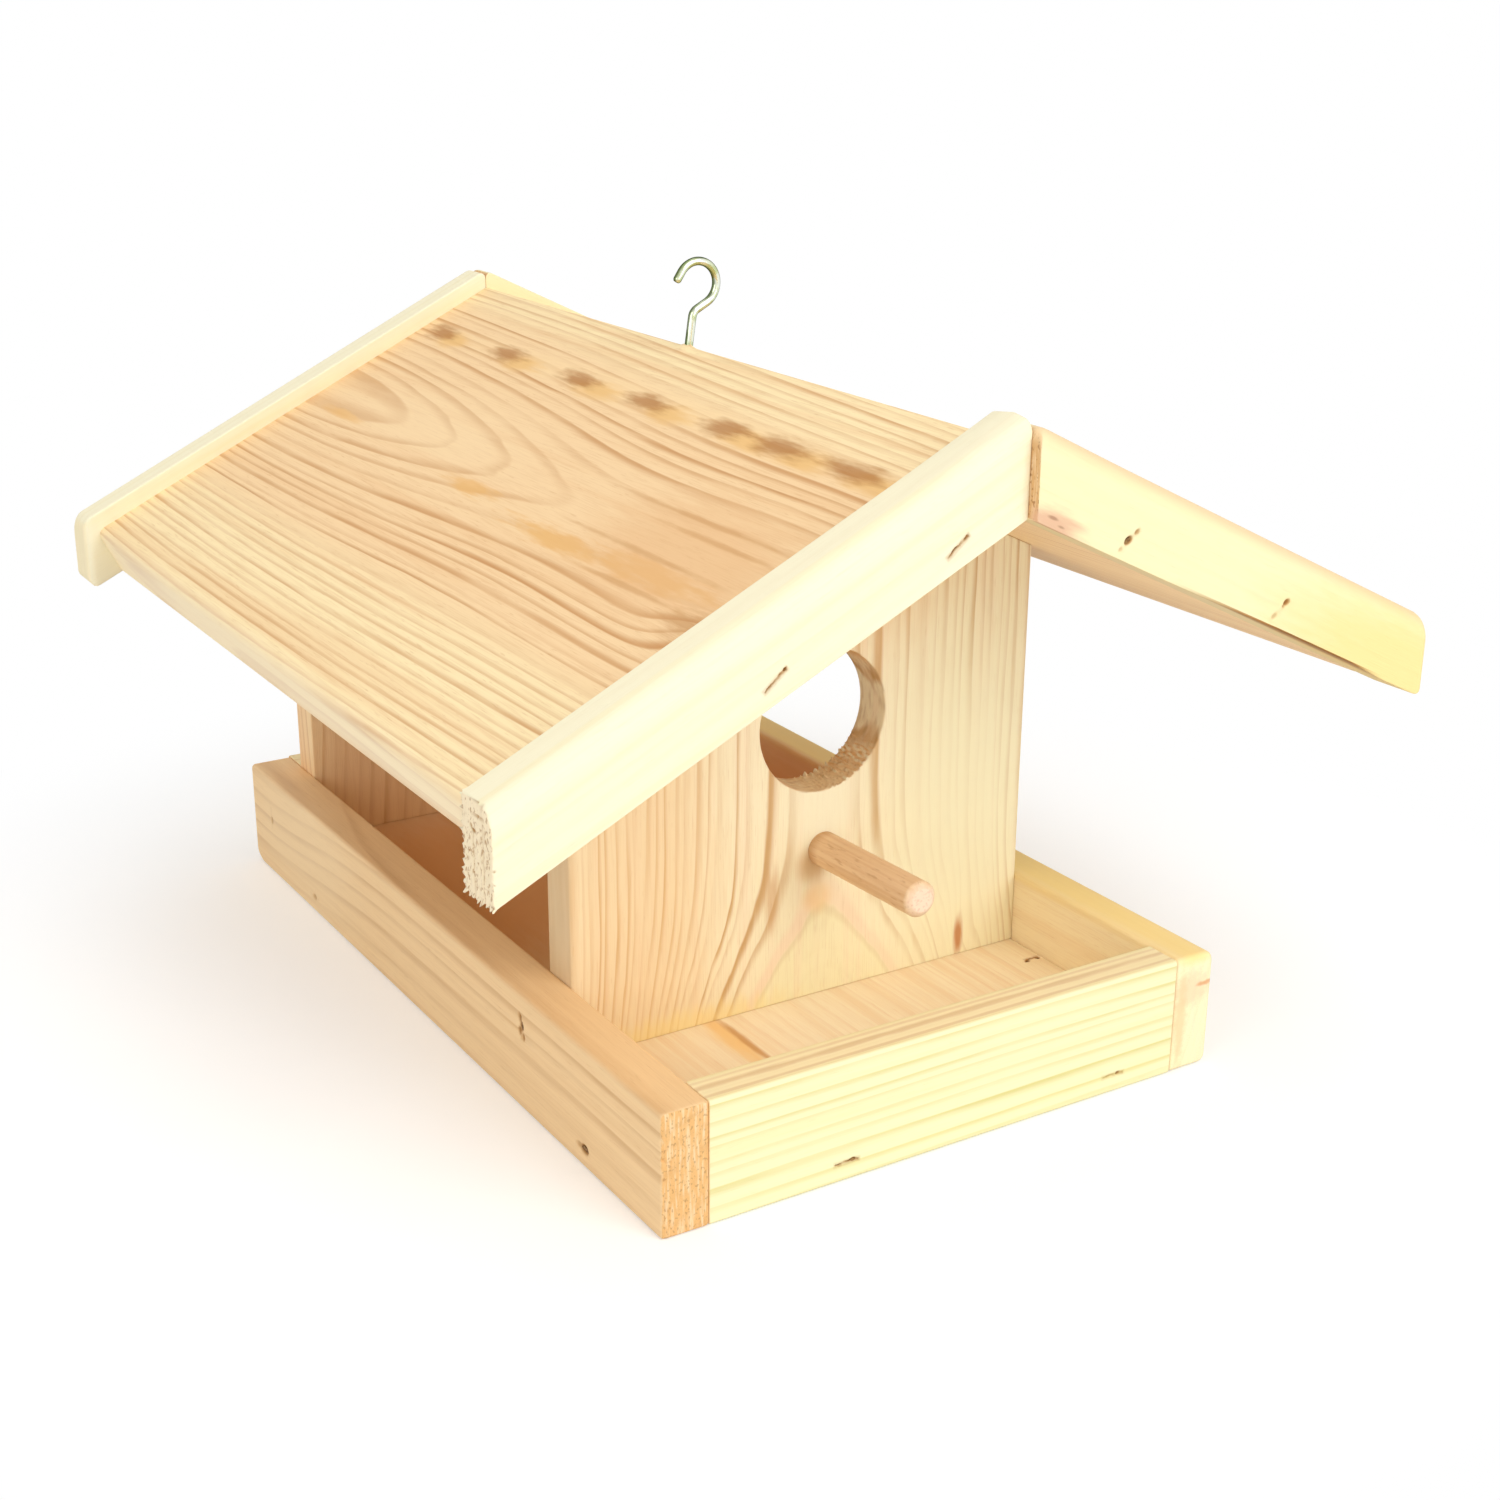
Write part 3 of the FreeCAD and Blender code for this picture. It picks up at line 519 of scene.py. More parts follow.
right_wood = pine_board(
    "right_rail_pine", (0, 0, 0), (-INNER, 0, 0), (0, 1, 0),
    [((8, 0, RAIL_TOP), (14, 500, 5), (255, 229, 150), 0.85, 0.2),
     # Painted shade: the rail's inner face inside the house is darkened.
     ((-1, 55, 14), (7, 135, 60), (222, 162, 106), 0.95, 0.1),
     ((7, -TRAY_END, 29), (11, 4, 9), (245, 208, 170), 0.6, 0.8),
     ((3, -TRAY_END, 18), (3.5, 4, 24), (246, 208, 158), 0.7, 0.8),
     ((13, -TRAY_END, 30), (5, 5, 1.3), (222, 146, 88), 0.7, 0.7)],
    Seed=(5.5, 0.4, 3.3), Pith=(-150, 0, 60), Lean=0.02, Ring=4.5, Late=0.25, Heart=400,
    Heart_Color=(255, 238, 200), Streak=0.2, End_Color=(253, 244, 200), Pits=0)
right_staples = [((-x, y, z), crown, (1, 0, 0), *press_by) for (x, y, z), crown, out, *press_by in left_staples]
rail("side_rail_right", right_wood, "right_rail", INNER, OUTER, [0.9, 2.6, 3.4, 1.4], TRAY_END, (1.6, 1.6),
     right_staples, cuts={1: side_cuts}, cap=10)

front_wood = pine_board(
    "front_rail_pine", (0, 0, 90), (-TRAY_END, 0, 0), (1, 0, 0),
    [((-7, 0, RAIL_TOP), (11, 300, 3), (255, 238, 196), 0.75, 0.3),
     ((-2.6, -10, RAIL_TOP), (1.2, 260, 1.6), (206, 160, 108), 0.36, 0.9),
     ((-7.6, -20, RAIL_TOP), (2, 260, 1.6), (204, 156, 104), 0.42, 0.9),
     ((-11, 10, RAIL_TOP), (1.1, 200, 1.6), (210, 164, 110), 0.3, 0.9)],
    Seed=(8.2, 4.1, 6.6), Pith=(60, 0, -34), Lean=0.012, Drift=0.014, Ring=3, Late=0.7, Flat=1, Heart=20,
    Sap_Color=(248, 241, 196), Late_Color=(206, 190, 72), Streak_Color=(250, 234, 164), Streak=0.25, Fibre=0.06)
front_staples = [
    ((-40.7, -TRAY_END, LOW_STAPLE), (1, 0, 0), (0, -1, 0), 0.9, [(2.4, 0.1, 1.2, 1.2), (-2.6, -0.4, 1.1, 0.7)]),
    ((64.1, -TRAY_END, LOW_STAPLE), (1, 0, 0), (0, -1, 0), 0.5, [(2, 0.1, 1, 1), (-2.4, -0.1, 0.9, 0.5)])]
rail("end_rail_front", front_wood, "front_rail", -TRAY_END, -FLOOR_END, [0.9, 0.7, 0.9, 1.1], INNER, 0.5,
     front_staples, turned=True, cuts={3: RAIL_TOP - FLAT_Z})

rear_wood = pine_board(
    "rear_rail_pine", (0, 0, 90), (TRAY_END, 0, 0), (1, 0, 0),
    Seed=(2.7, 9.4, 4.6), Pith=(70, 0, -60), Lean=0.02, Drift=-0.01, Ring=2.7, Late=0.42, Flat=1, Heart=20,
    Sap_Color=(252, 236, 186), Late_Color=(198, 150, 96))
rear_staples = [((x, -y, z), crown, (0, 1, 0), *press_by) for (x, y, z), crown, out, *press_by in front_staples]
rail("end_rail_rear", rear_wood, "rear_rail", FLOOR_END, TRAY_END, [0.7, 0.9, 1.1, 0.9], INNER, 0.5,
     rear_staples, turned=True, cuts={1: FLAT_Z})

# Staples: flat steel wire, driven below the face by a staple gun and browned by damp wood.
# The solids from the frame are the real bent wire, so they stay and take this finish.
rust, shader, place, _ = new_material("staple_wire")
blotch = noise(place, 900, 3)["Fac"]
spots = step(blotch, 0.4, 0.62)
feed(shader, {
    "Base Color": blend(spots, tone(158, 124, 78), tone(108, 68, 30)), "Metallic": step(spots, 0, 1, 0.7, 0.1),
    "Roughness": step(spots, 0, 1, 0.42, 0.8), "Normal": bumped(blotch, 0.4, 0.0002)})
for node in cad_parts:
    if "staple" in node:
        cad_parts[node].data.materials.clear()
        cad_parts[node].data.materials.append(rust)

# Walls of the house: gabled pine boards with the grain upright, standing on the floor between the side
# rails. The front one's rings part round a pale flame below the perch, and its entrance was cut with a hole
# saw that left torn fibres low on the right of the rim.
PITCH = 25.8
SLOPE = np.tan(np.radians(PITCH))
PEAK = 204.3
WALL_FRONT = -81.5
WALL_BACK = -66.5
REAR_WALL = 137.5
HOLE_X, HOLE_Z, HOLE_R = 5.5, 113.4, 24.5
SHOULDER = PEAK - INNER * SLOPE
gable = [(-INNER, FLOOR_TOP), (INNER, FLOOR_TOP), (INNER, SHOULDER), (0, PEAK), (-INNER, SHOULDER)]
wall_wood = pine_board(
    "front_wall_pine", (-90, 0, 0), (0, 0, WALL_FRONT), (0, 0, 1),
    [((62, 66, 0), (46, 108, 60), (255, 248, 210), 0.8, 0.2),
     ((4, 51, 0), (8, 8, 10), (255, 210, 144), 0.55, 0.3),
     ((6, 86, 0), (22, 44, 30), (255, 248, 216), 0.6, 0.4),
     ((-66, 70, 0), (46, 150, 60), (244, 196, 134), 0.42, 0.3),
     # Painted shadow of the perch on the wall round its foot.
     ((2, 63, 0), (9, 9, 9), (222, 172, 112), 0.6, 0.3),
     # Painted light: a warm bounce from the porch floor along the wall's foot on the left.
     ((-48, 15, 0), (56, 10, 20), (255, 228, 150), 0.55, 0.7),
     ((-91, 80, -8), (3.8, 400, 30), (214, 188, 148), 0.95, 0.2),
     ((-14, 54, 0), (4.5, 17, 6), (210, 154, 92), 0.5, 0.8),
     # Painted shade under the roof's overhang at the top of the wall.
     ((0, 178, 0), (80, 60, 60), (244, 190, 126), 0.62, 0.2),
     ((64.5, 22, 0), (2.6, 11, 9), (200, 122, 58), 0.85, 0.7)],
    Seed=(6.3, 1.9, 2.8), Pith=(6, 0, -6), Lean=0.006, Ring=3, Wobble=4, Core=46, Late=0.92, Flat=0.5, Heart=-1.8,
    Heart_Edge=2.2, Heart_Late=0.04, Rim=0.62, Heart_Color=(255, 245, 204), Sap_Color=(255, 243, 208),
    Late_Color=(198, 142, 66), Streak_Color=(255, 226, 196), End_Color=(238, 194, 138),
    Swell=(9.5, -5, 0), Swell_Size=(56, 40, 60), Swell_Lift=-50,
    Knot=(66, 20, 0), Knot_Size=(7, 16, 20), Knot_Lift=6)


def holed_wall(corners, hole, front, back, arris=0.6):
    """Wall with a round hole as one grid: the angle round the hole, and a loop that runs from the rim out
    over the front face, round the rounded edge, back over the rear face and through the bore. On a face a
    point lies between the hole's circle and the outline, by a share that grows outwards, and the rounded
    edges are quarter circles. The angles take in every corner of the outline. Gives loop by angle by XYZ,
    closed both ways."""
    corners = np.asarray(corners, float) - hole[:2]
    ahead = np.roll(corners, -1, 0) - corners
    bearing = np.arctan2(corners[:, 1], corners[:, 0])
    even = np.linspace(-np.pi, np.pi, 440, endpoint=False)
    even = even[np.abs(even[:, None] - bearing).min(1) > 0.004]
    angle = np.sort(np.concatenate([even, bearing]))
    ray = np.stack([np.cos(angle), np.sin(angle)], 1)
    cross = ray[:, None, 0] * ahead[None, :, 1] - ray[:, None, 1] * ahead[None, :, 0]
    cross = np.where(np.abs(cross) < 1e-9, np.nan, cross)
    reach = (corners[:, 0] * ahead[:, 1] - corners[:, 1] * ahead[:, 0]) / cross
    reach = np.nanmin(np.where(reach > 0, reach, np.inf), 1) - arris
    inner = hole[2] + arris
    share = np.array([0, 0.02, 0.06, 0.15, 0.3, 0.45, 0.6, 0.75, 0.9, 0.98, 1])[:, None]
    face = inner + (reach[None] - inner) * share
    bend = np.linspace(0, np.pi / 2, 6)[1:]
    turn, sink = arris * np.sin(bend)[:, None], arris * (1 - np.cos(bend))
    edge, bore = reach[None] + turn, inner - turn * np.ones_like(reach)[None]
    thick = back - front
    middle = np.linspace(0.92, 0.08, 16) * thick
    tube = np.full((len(middle), len(angle)), hole[2])
    radial = np.concatenate([face, edge, edge[::-1], face[::-1], bore, tube, bore[::-1]])
    flat = np.zeros(len(share))
    y = front + np.concatenate([flat, sink, thick - sink[::-1], thick - flat, thick - sink, middle, sink[::-1]])
    y = np.repeat(y[:, None], len(angle), 1)
    return np.stack([hole[0] + radial * ray[:, 0], y, hole[1] + radial * ray[:, 1]], 2)


grid = holed_wall(gable, (HOLE_X, HOLE_Z, HOLE_R), WALL_FRONT, WALL_BACK)
vertices = grid.reshape(-1, 3)
spoke = (vertices - [HOLE_X, 0, HOLE_Z]) * [1, 0, 1]
reach = np.linalg.norm(spoke, axis=1)
spoke /= reach[:, None]
inside = np.clip((HOLE_R + 0.7 - reach) / 0.5, 0, 1)
low = np.clip((spoke @ [0.454, 0, -0.891] - 0.80) / 0.15, 0, 1)
hairs = np.clip(1.5 * ripple(vertices * [1, 0.5, 1], 1.2, 17) - 0.1, 0, 2)
rear = np.clip((vertices[:, 1] - WALL_BACK + 4.0) / 3.5, 0, 1)
vertices -= spoke * (inside * (0.03 * hairs + low * hairs * (0.4 + 0.6 * rear)))[:, None]
bruise_and_shade = 0.36 * inside * np.clip(ripple(vertices * [0.3, 1, 0.3], 1.8, 19) + 0.4, 0, 1) * (1 - 0.6 * low)
bruise_and_shade = np.maximum(bruise_and_shade, 0.42 * inside * low * np.clip(1.4 * ripple(vertices, 1.5, 29) - 0.1, 0, 1))
quads = ring_faces(*grid.shape[:2], closed=True)
new_piece("gable_front", vertices, [quads], wall_wood, "pine", ["front_wall"], bruise_and_shade=bruise_and_shade)

rear_wall_wood = pine_board(
    "rear_wall_pine", (-90, 0, 0), (0, 0, REAR_WALL), (0, 0, 1),
    Seed=(0.6, 5.2, 8.8), Pith=(-22, 0, -70), Lean=0.05, Ring=3.2, Heart_Color=(250, 212, 164))
rear_grid = swept(rounded_outline(gable, 0.6), *stations(REAR_WALL, FLOOR_END, 0.6), cap=12)
new_piece("gable_rear", *closed_board(*rear_grid), rear_wall_wood, "pine", ["rear_wall"])

# Perch: a turned beech dowel pushed into its bore below the entrance and glued, its tip chamfered.
# Beech shows short dark flecks along the grain and a paler, matt end.
PERCH = np.array([6.2, WALL_BACK, 67.6])
PERCH_LONG = 71
PERCH_R = 6
PERCH_RISE = 2.2
beech, shader, place, normal = new_material("perch_beech")
stick = in_millimetres(place, (PERCH_RISE, 0, 0))
flecks = field(stick, (0, 0, 0), (0.9, 6.5, 0.9))
lines = field(stick, (4, 4, 4), (1.6, 90, 1.6))
color = blend(step(lines, 0.35, 0.7), tone(242, 211, 171), tone(228, 191, 148))
color = blend(step(flecks, 0.56, 0.74, 0, 0.45), color, tone(190, 144, 98))
# Painted contact shade: the dowel darkens towards the wall, where it enters its bore.
color = blend(step(place.parts()[1], -0.0875, -0.0815, 0, 0.6), color, tone(184, 134, 82))
rough = field(stick, (9, 2, 5), (1.1, 1.1, 1.1))
pale = blend(step(rough, 0.5, 0.7), tone(250, 220, 192), tone(238, 198, 170))
color = blend(step(normal.math("DOT_PRODUCT", (0, -1, 0)), 0.6, 0.9), color, pale)
feed(shader, {"Base Color": color, "Roughness": step(lines, 0.2, 0.8, 0.5, 0.68), "Specular IOR Level": 0.3,
              "Normal": bumped(flecks, 0.3, 0.0003)})


def dowel(radius, length, chamfer, tip=5):
    """Turned stick: a circle carried along the length, drawn in by a chamfer at the tip, with faint ovality
    and tool ripple in the radius, and a saw's marks in the tip's own rings."""
    angle = np.linspace(0, 2 * np.pi, 72, endpoint=False)
    along = np.concatenate([[0.0, 0.4], np.linspace(2, length - chamfer - 0.5, 40),
                            length - chamfer + np.array([-0.15, 0.05, 0.35, 0.7, 0.92]) * chamfer, [length]])
    inset = chamfer * np.clip((along - length + chamfer) / chamfer, 0, 1) ** 1.4
    size = (radius - inset)[:, None] * (1 + 0.006 * np.cos(2 * angle + 0.7))[None]
    size = size + 0.03 * np.sin(along * 2.3 + 0.8 * np.sin(along * 0.31))[:, None]
    ring = np.stack([np.cos(angle), np.sin(angle), 0 * angle], 1) * radius
    size = size - 0.4 * np.clip(inset / chamfer, 0, 1)[:, None] * np.clip(ripple(ring, 3.2, 8) + 0.3, 0, 1)[None]
    grid = np.stack([size * np.cos(angle), np.repeat(along[:, None], len(angle), 1), size * np.sin(angle)], 2)
    poles = np.array([[0, 0, 0], [0, length, 0]], float)
    grid = capped(grid, poles, tip + 1)
    grid[-tip:, :, 1] -= 0.12 * ripple(grid[-tip:], 1.4, 5) ** 2
    return grid, poles


vertices, faces = closed_board(*dowel(PERCH_R, PERCH_LONG, 2))
rise = np.radians(PERCH_RISE)
lengthwise = np.array([0, -np.cos(rise), np.sin(rise)])
upward = np.array([0, np.sin(rise), np.cos(rise)])
vertices = PERCH + vertices[:, :1] * [1, 0, 0] + vertices[:, 1:2] * lengthwise + vertices[:, 2:] * upward
new_piece("perch", vertices, faces, beech, "beech", ["perch_dowel"])

# Ridge batten: a planed pine strip between the walls, bevelled to the roof's slopes.
# Glued under the ridge, where the hook's screw bites into it.
BATTEN_HALF = 16
BATTEN_LOW = PEAK - 22
batten_wood = pine_board(
    "batten_pine", (0, 0, 0), (0, 0, -PEAK), (0, 1, 0),
    Seed=(7.1, 3.8, 0.9), Pith=(60, 0, -70), Ring=3, Late=0.5)
bevel = PEAK - BATTEN_HALF * SLOPE
outline = rounded_outline(
    [(0, PEAK), (-BATTEN_HALF, bevel), (-BATTEN_HALF, BATTEN_LOW), (BATTEN_HALF, BATTEN_LOW),
     (BATTEN_HALF, bevel)], 0.5)
batten = closed_board(*swept(outline, *stations(WALL_BACK, REAR_WALL, 0.3)))
new_piece("ridge_strip", *batten, batten_wood, "pine", ["ridge_batten"])

# Roof boards: flat-sawn pine, mitred at the ridge and square at the eaves, glued to the walls and the batten.
# The left one shows nested arches with their tips towards the porch and a row of brown marks near the ridge.
COS, SIN = np.cos(np.radians(PITCH)), np.sin(np.radians(PITCH))
THICK = 18
RIDGE = PEAK + THICK / COS
LEFT_WIDTH, RIGHT_WIDTH = 178.5, 176
LEFT_FRONT, RIGHT_FRONT = -170, -174
HOOK_Y = -3.6
left_marks = [((-29, -10, 0), (9, 230, 8), (254, 222, 168), 0.5, 0.5)]
for y, size in (
        (134.7, 0.75), (78.6, 0.95), (21.7, 1), (-25.4, 0.95), (-73.5, 0.85), (-105, 1.05), (-142.8, 1.1)):
    left_marks += [((-31.8, y - 13, 0), (6.5, 22 * size, 8), (238, 190, 118), 0.8, 0.8),
                   ((-29.6, y + 1, 0), (6, 20 * size, 8), (174, 112, 48), 0.78, 1.1)]
left_marks += [((-down, y, 0), (wide, long, 8), (234, 180, 106), 0.8, 1.4) for down, y, wide, long in (
    (90, -2, 4.5, 24), (94, -72, 6, 44), (91, -122, 6.5, 40), (84, 118, 3, 22))]
left_marks += [((-100, -157, 0), (7, 17, 8), (188, 132, 72), 0.65, 1.4),
               ((-80, -125, 0), (36, 70, 20), (230, 180, 126), 0.55, 0.5),
               ((-LEFT_WIDTH, 0, -9), (7, 500, 14), (255, 238, 206), 0.6, 0.3)]
left_marks += [((-down, y, 0), (1.5, long, 6), (202, 146, 86), 0.5, 0.9) for down, y, long in (
    (66, -118, 62), (72, -132, 46), (85, -108, 58), (98, -120, 44))]
left_marks += [((-72, 60, 0), (26, 100, 20), (252, 222, 174), 0.4, 0.4)]
left_roof_wood = pine_board(
    "left_roof_pine", (0, PITCH, 0), (-RIDGE * SIN, 0, -RIDGE * COS), (0, 1, 0), left_marks,
    Seed=(2, 6.5, 5.3), Pith=(-77, 0, -21), Lean=-0.126, Drift=-0.02, Ring=3.3, Core=25, Wander=6, Wobble=1.5,
    Late=0.95, Flat=0.5, Heart=62, Heart_Edge=9, Heart_Color=(248, 213, 164), Streak=0.45, Fibre=0.18,
    Swell=(-80, -190, 0), Swell_Size=(55, 95, 40), Swell_Lift=-16.5,
    Knot=(-104, -168, 0), Knot_Size=(9, 20, 20), Knot_Lift=7)
right_roof_wood = pine_board(
    "right_roof_pine", (0, -PITCH, 0), (RIDGE * SIN, 0, -RIDGE * COS), (0, 1, 0),
    Seed=(9.9, 2.4, 7.3), Pith=(96, 0, -72), Lean=0.034, Drift=-0.02, Ring=2.4, Late=0.7,
    Heart_Color=(252, 223, 178))


def roof_board(name, wood, replaced, side, width, front):
    """Roof board: a four-cornered section with a plumb mitre at the ridge, swept along the ridge. Fibres
    pushed up by the hook's screw make a low bell-shaped rise round it."""
    eave = (side * width * COS, RIDGE - width * SIN)
    under = (eave[0] - side * THICK * SIN, eave[1] - THICK * COS)
    corners = [(0, RIDGE), eave, under, (0, PEAK)]
    radii = [0.3, 2.8, 1.6, 0.3]
    top = 0
    if side > 0:
        corners, radii, top = corners[:1] + corners[:0:-1], radii[:1] + radii[:0:-1], 3
    near = np.arange(0.8, 6.0, 0.8)
    cuts = np.concatenate([near if side < 0 else width - near, np.linspace(12, width - 12, 16)])
    outline = rounded_outline(corners, radii, {top: cuts})
    along = stations(front, FLOOR_END, 0.3, both_ways(HOOK_Y, near - 0.8), spacing=9.0)
    vertices, faces = closed_board(*swept(outline, *along))
    aside = np.hypot(vertices[:, 0], vertices[:, 1] - HOOK_Y)
    swell = np.exp(-(aside / 3.0) ** 2) * (vertices[:, 2] > RIDGE - 4)
    vertices[:, 2] += 1.1 * swell * (1 + 0.3 * ripple(vertices, 2.0, 44))
    new_piece(name, vertices, faces, wood, "pine", [replaced])


roof_board("roof_board_left", left_roof_wood, "left_roof_panel", -1, LEFT_WIDTH, LEFT_FRONT)
roof_board("roof_board_right", right_roof_wood, "right_roof_panel", 1, RIGHT_WIDTH, RIGHT_FRONT)

# Barge strips: pale, almost figureless pine over the roof boards' end grain, the outer top edge rounded with
# a router, the ends cut plumb. Stapled through their faces; the sawn lower end of the front left one is fibrous.
BARGE_HIGH = 24
BARGE_THICK = 17
BARGE_ROUND = 6.8
BARGE_PAST = 2.7
APEX_REACH = 38
STAPLE_UP = 6.2


def barge(name, wood, replaced, side, end, rear_face, outward, staples, foot=0.6, top_round=3.0, foot_round=0.0,
          lean=0.0, cap=4, tight=BARGE_ROUND, crest=0.0, torn=False, rough=None):
    """Barge strip: a section with one corner rounded over, drawn in Y and in height above the roof's
    underside, swept along X while the underside falls with the slope. The round shrinks about its square
    corner to a tight radius at the apex, where the top is also raised and arched by its crest. The top corner
    at the apex and the bottom corner at the foot are rounded by their own radii. Lean moves the lower end
    outwards. A staple is (place along X, tilt, opening, pits)."""
    face = rear_face + outward * BARGE_THICK
    low, high = sorted((rear_face, face))
    radii = [0.3, 0.6, 0.6, BARGE_ROUND] if outward < 0 else [0.6, 0.3, BARGE_ROUND, 0.6]
    fine = np.concatenate([np.arange(0.6, 12.4, 0.22), [13.5, 15.0]])
    cuts = {3: BARGE_HIGH - fine} if outward < 0 else {1: fine}
    cuts = {**cuts, 0: np.arange(1, BARGE_THICK, 0.5 if torn else 1.0)}
    if torn:
        cuts = {**cuts, 1: np.arange(1, BARGE_HIGH, 0.5)}
    outline = rounded_outline(section(low, high, BARGE_HIGH), radii, cuts, steps=8)
    tips = np.linspace(0.5, 6.0, 10)
    extra = [both_ways(abs(x), np.arange(0, 5.7, 0.22)) for x, *_ in staples] + [tips, end - tips]
    along = stations(0, end, (0.5, foot), np.concatenate(extra), support=0.5)
    vertices, faces = closed_board(*swept(outline, *along, cap))
    y, run, up = vertices.T
    close = np.clip(1 - run / APEX_REACH, 0, 1) ** 1.5
    rounded = (np.abs(y - face) <= BARGE_ROUND + 0.01) & (up >= BARGE_HIGH - BARGE_ROUND - 0.01)
    scale = np.where(rounded, 1 - (1 - tight / BARGE_ROUND) * close, 1)
    y = face + (y - face) * scale
    up = BARGE_HIGH + (up - BARGE_HIGH) * scale
    middle = 1 - ((y - (low + high) / 2) / (BARGE_THICK / 2)) ** 2
    up = up + crest * close * (up / BARGE_HIGH) ** 2 * (0.4 + 1.3 * np.clip(middle, 0, 1))
    up = up - quarter(run, top_round) * (up / BARGE_HIGH) ** 4
    up = up + quarter(end - run, foot_round) * (1 - up / BARGE_HIGH) ** 4
    vertices = np.stack([side * run, y + outward * lean * (run / end) ** 1.5, PEAK - run * SLOPE + up / COS], 1)
    bruise_and_shade = np.zeros(len(vertices))
    for number, (x, tilt, opening, pits) in enumerate(staples):
        crown = np.array([np.cos(np.radians(tilt)), 0, np.sin(np.radians(tilt))])
        centre = (x, face + outward * lean * (abs(x) / end) ** 1.5, PEAK - abs(x) * SLOPE + STAPLE_UP / COS)
        vertices, bruise_and_shade = press(
            vertices, bruise_and_shade, centre, crown, (0, outward, 0), 60 + number, opening=opening, pits=pits)
    if rough:
        vertices, bruise_and_shade = rough(vertices, bruise_and_shade)
    new_piece(name, vertices, faces, wood, "pine", [replaced], bruise_and_shade=bruise_and_shade)


PALE = dict(
    Pith=(40, 0, -60), Lean=0.02, Ring=4.2, Late=0.12, Flat=1, Heart=20, Sap_Color=(248, 239, 206),
    Late_Color=(220, 184, 120), Streak_Color=(248, 234, 176), Fibre=0.05, End_Color=(248, 230, 196))
LEFT_END = LEFT_WIDTH * COS + BARGE_PAST
RIGHT_END = RIGHT_WIDTH * COS + BARGE_PAST
LEFT_FACE = LEFT_FRONT - BARGE_THICK
RIGHT_FACE = RIGHT_FRONT - BARGE_THICK
left_slope = ((0, PITCH, 90), (LEFT_FACE, -PEAK * SIN, -PEAK * COS), (COS, 0, SIN))
left_pale = pine_board("left_barge_pine", *left_slope, **dict(PALE, Seed=(1.1, 8.8, 2.2), Pits=0.6))
rear_pale = pine_board(
    "rear_barge_pine", *left_slope, **dict(PALE, Seed=(7.4, 1.8, 5.2), End_Color=(250, 236, 196), Pits=0))
right_pale = pine_board(
    "right_barge_pine", (0, -PITCH, 90), (RIGHT_FACE, PEAK * SIN, -PEAK * COS), (COS, 0, -SIN),
    # Painted shade: a darker peach band along the rounded top edge.
    [((-3, 90, 26), (9, 900, 9), (242, 212, 166), 1, 0.1),
     ((0, 168, 6), (30, 95, 24), (249, 220, 142), 0.75, 0.4),
     ((0, 6, 0.6), (5, 17, 7), (224, 178, 146), 0.9, 0.8),
     ((0, 4.6, 2.8), (3, 2.6, 0.7), (150, 104, 74), 0.6, 1.2),
     ((0, 8.6, 1.4), (3, 2.2, 0.6), (150, 104, 74), 0.55, 1.2)],
    **dict(PALE, Seed=(4.7, 3.1, 6.1), Sap_Color=(248, 235, 188), End_Color=(216, 172, 120), Pits=0.9))
left_places = [(-23.7, 40, 1.0, [(3.8, 0, 0.8, 0.8)]), (-81.4, 40, 0.95, [(3.9, 0, 0.8, 1.2)])]
right_places = [(33.6, 38, 0.15, [(-0.5, 0.2, 1.6, 1.4), (3.2, 0, 1.2, 0.75), (-4, 0.2, 1, 0.5)]),
                (94.6, 32, 0.15, [(3.2, 0.3, 1.4, 1.1), (1.8, 0.1, 0.9, 0.7), (-2.6, -0.2, 1.5, 0.5)])]
rear_right_places = [(x, -PITCH, *press_by) for x, tilt, *press_by in right_places]


def sawn_end(vertices, bruise_and_shade):
    """Fibrous lower end of the front left barge: two upright grooves between rows of pores across the end
    face, and a fringe of torn fibres along its rear and bottom edges."""
    x, y, z = vertices.T
    near = np.clip((-LEFT_END + 1.3 - x) / 1.0, 0, 1)
    bottom = PEAK + x * SLOPE
    inward = y - LEFT_FACE
    sway = 0.4 * ripple(vertices, 7.0, 3)
    grooves = np.exp(-((inward + sway - 5.4) / 0.5) ** 2) + np.exp(-((inward + sway - 11.0) / 0.5) ** 2)
    pores = np.clip(ripple(vertices * [0.2, 1, 0.8], 1.25, 9) - 0.45, 0, 0.6)
    fuzz = ripple(vertices * [0.4, 1, 0.7], 0.9, 12)
    spikes = np.clip(1.3 * ripple(vertices * [0.1, 1, 1], 1.2, 23) - 0.05, 0, 2)
    rim = np.clip((inward - 15.6) / 1.4, 0, 1)
    foot = np.clip((1.6 - (z - bottom)) / 1.4, 0, 1)
    moved = vertices.copy()
    moved[:, 0] += near * (0.4 * grooves + 0.5 * pores + 0.12 * fuzz)
    moved[:, 1] += 1.3 * near * rim * spikes
    moved[:, 2] -= 0.8 * near * foot * spikes
    moved[:, 0] -= 0.5 * near * np.maximum(rim, foot) * spikes
    return moved, np.maximum(bruise_and_shade, near * np.clip(1.1 * pores + 0.4 * grooves, 0, 0.9))


RIGHT_LEAN = 0.9


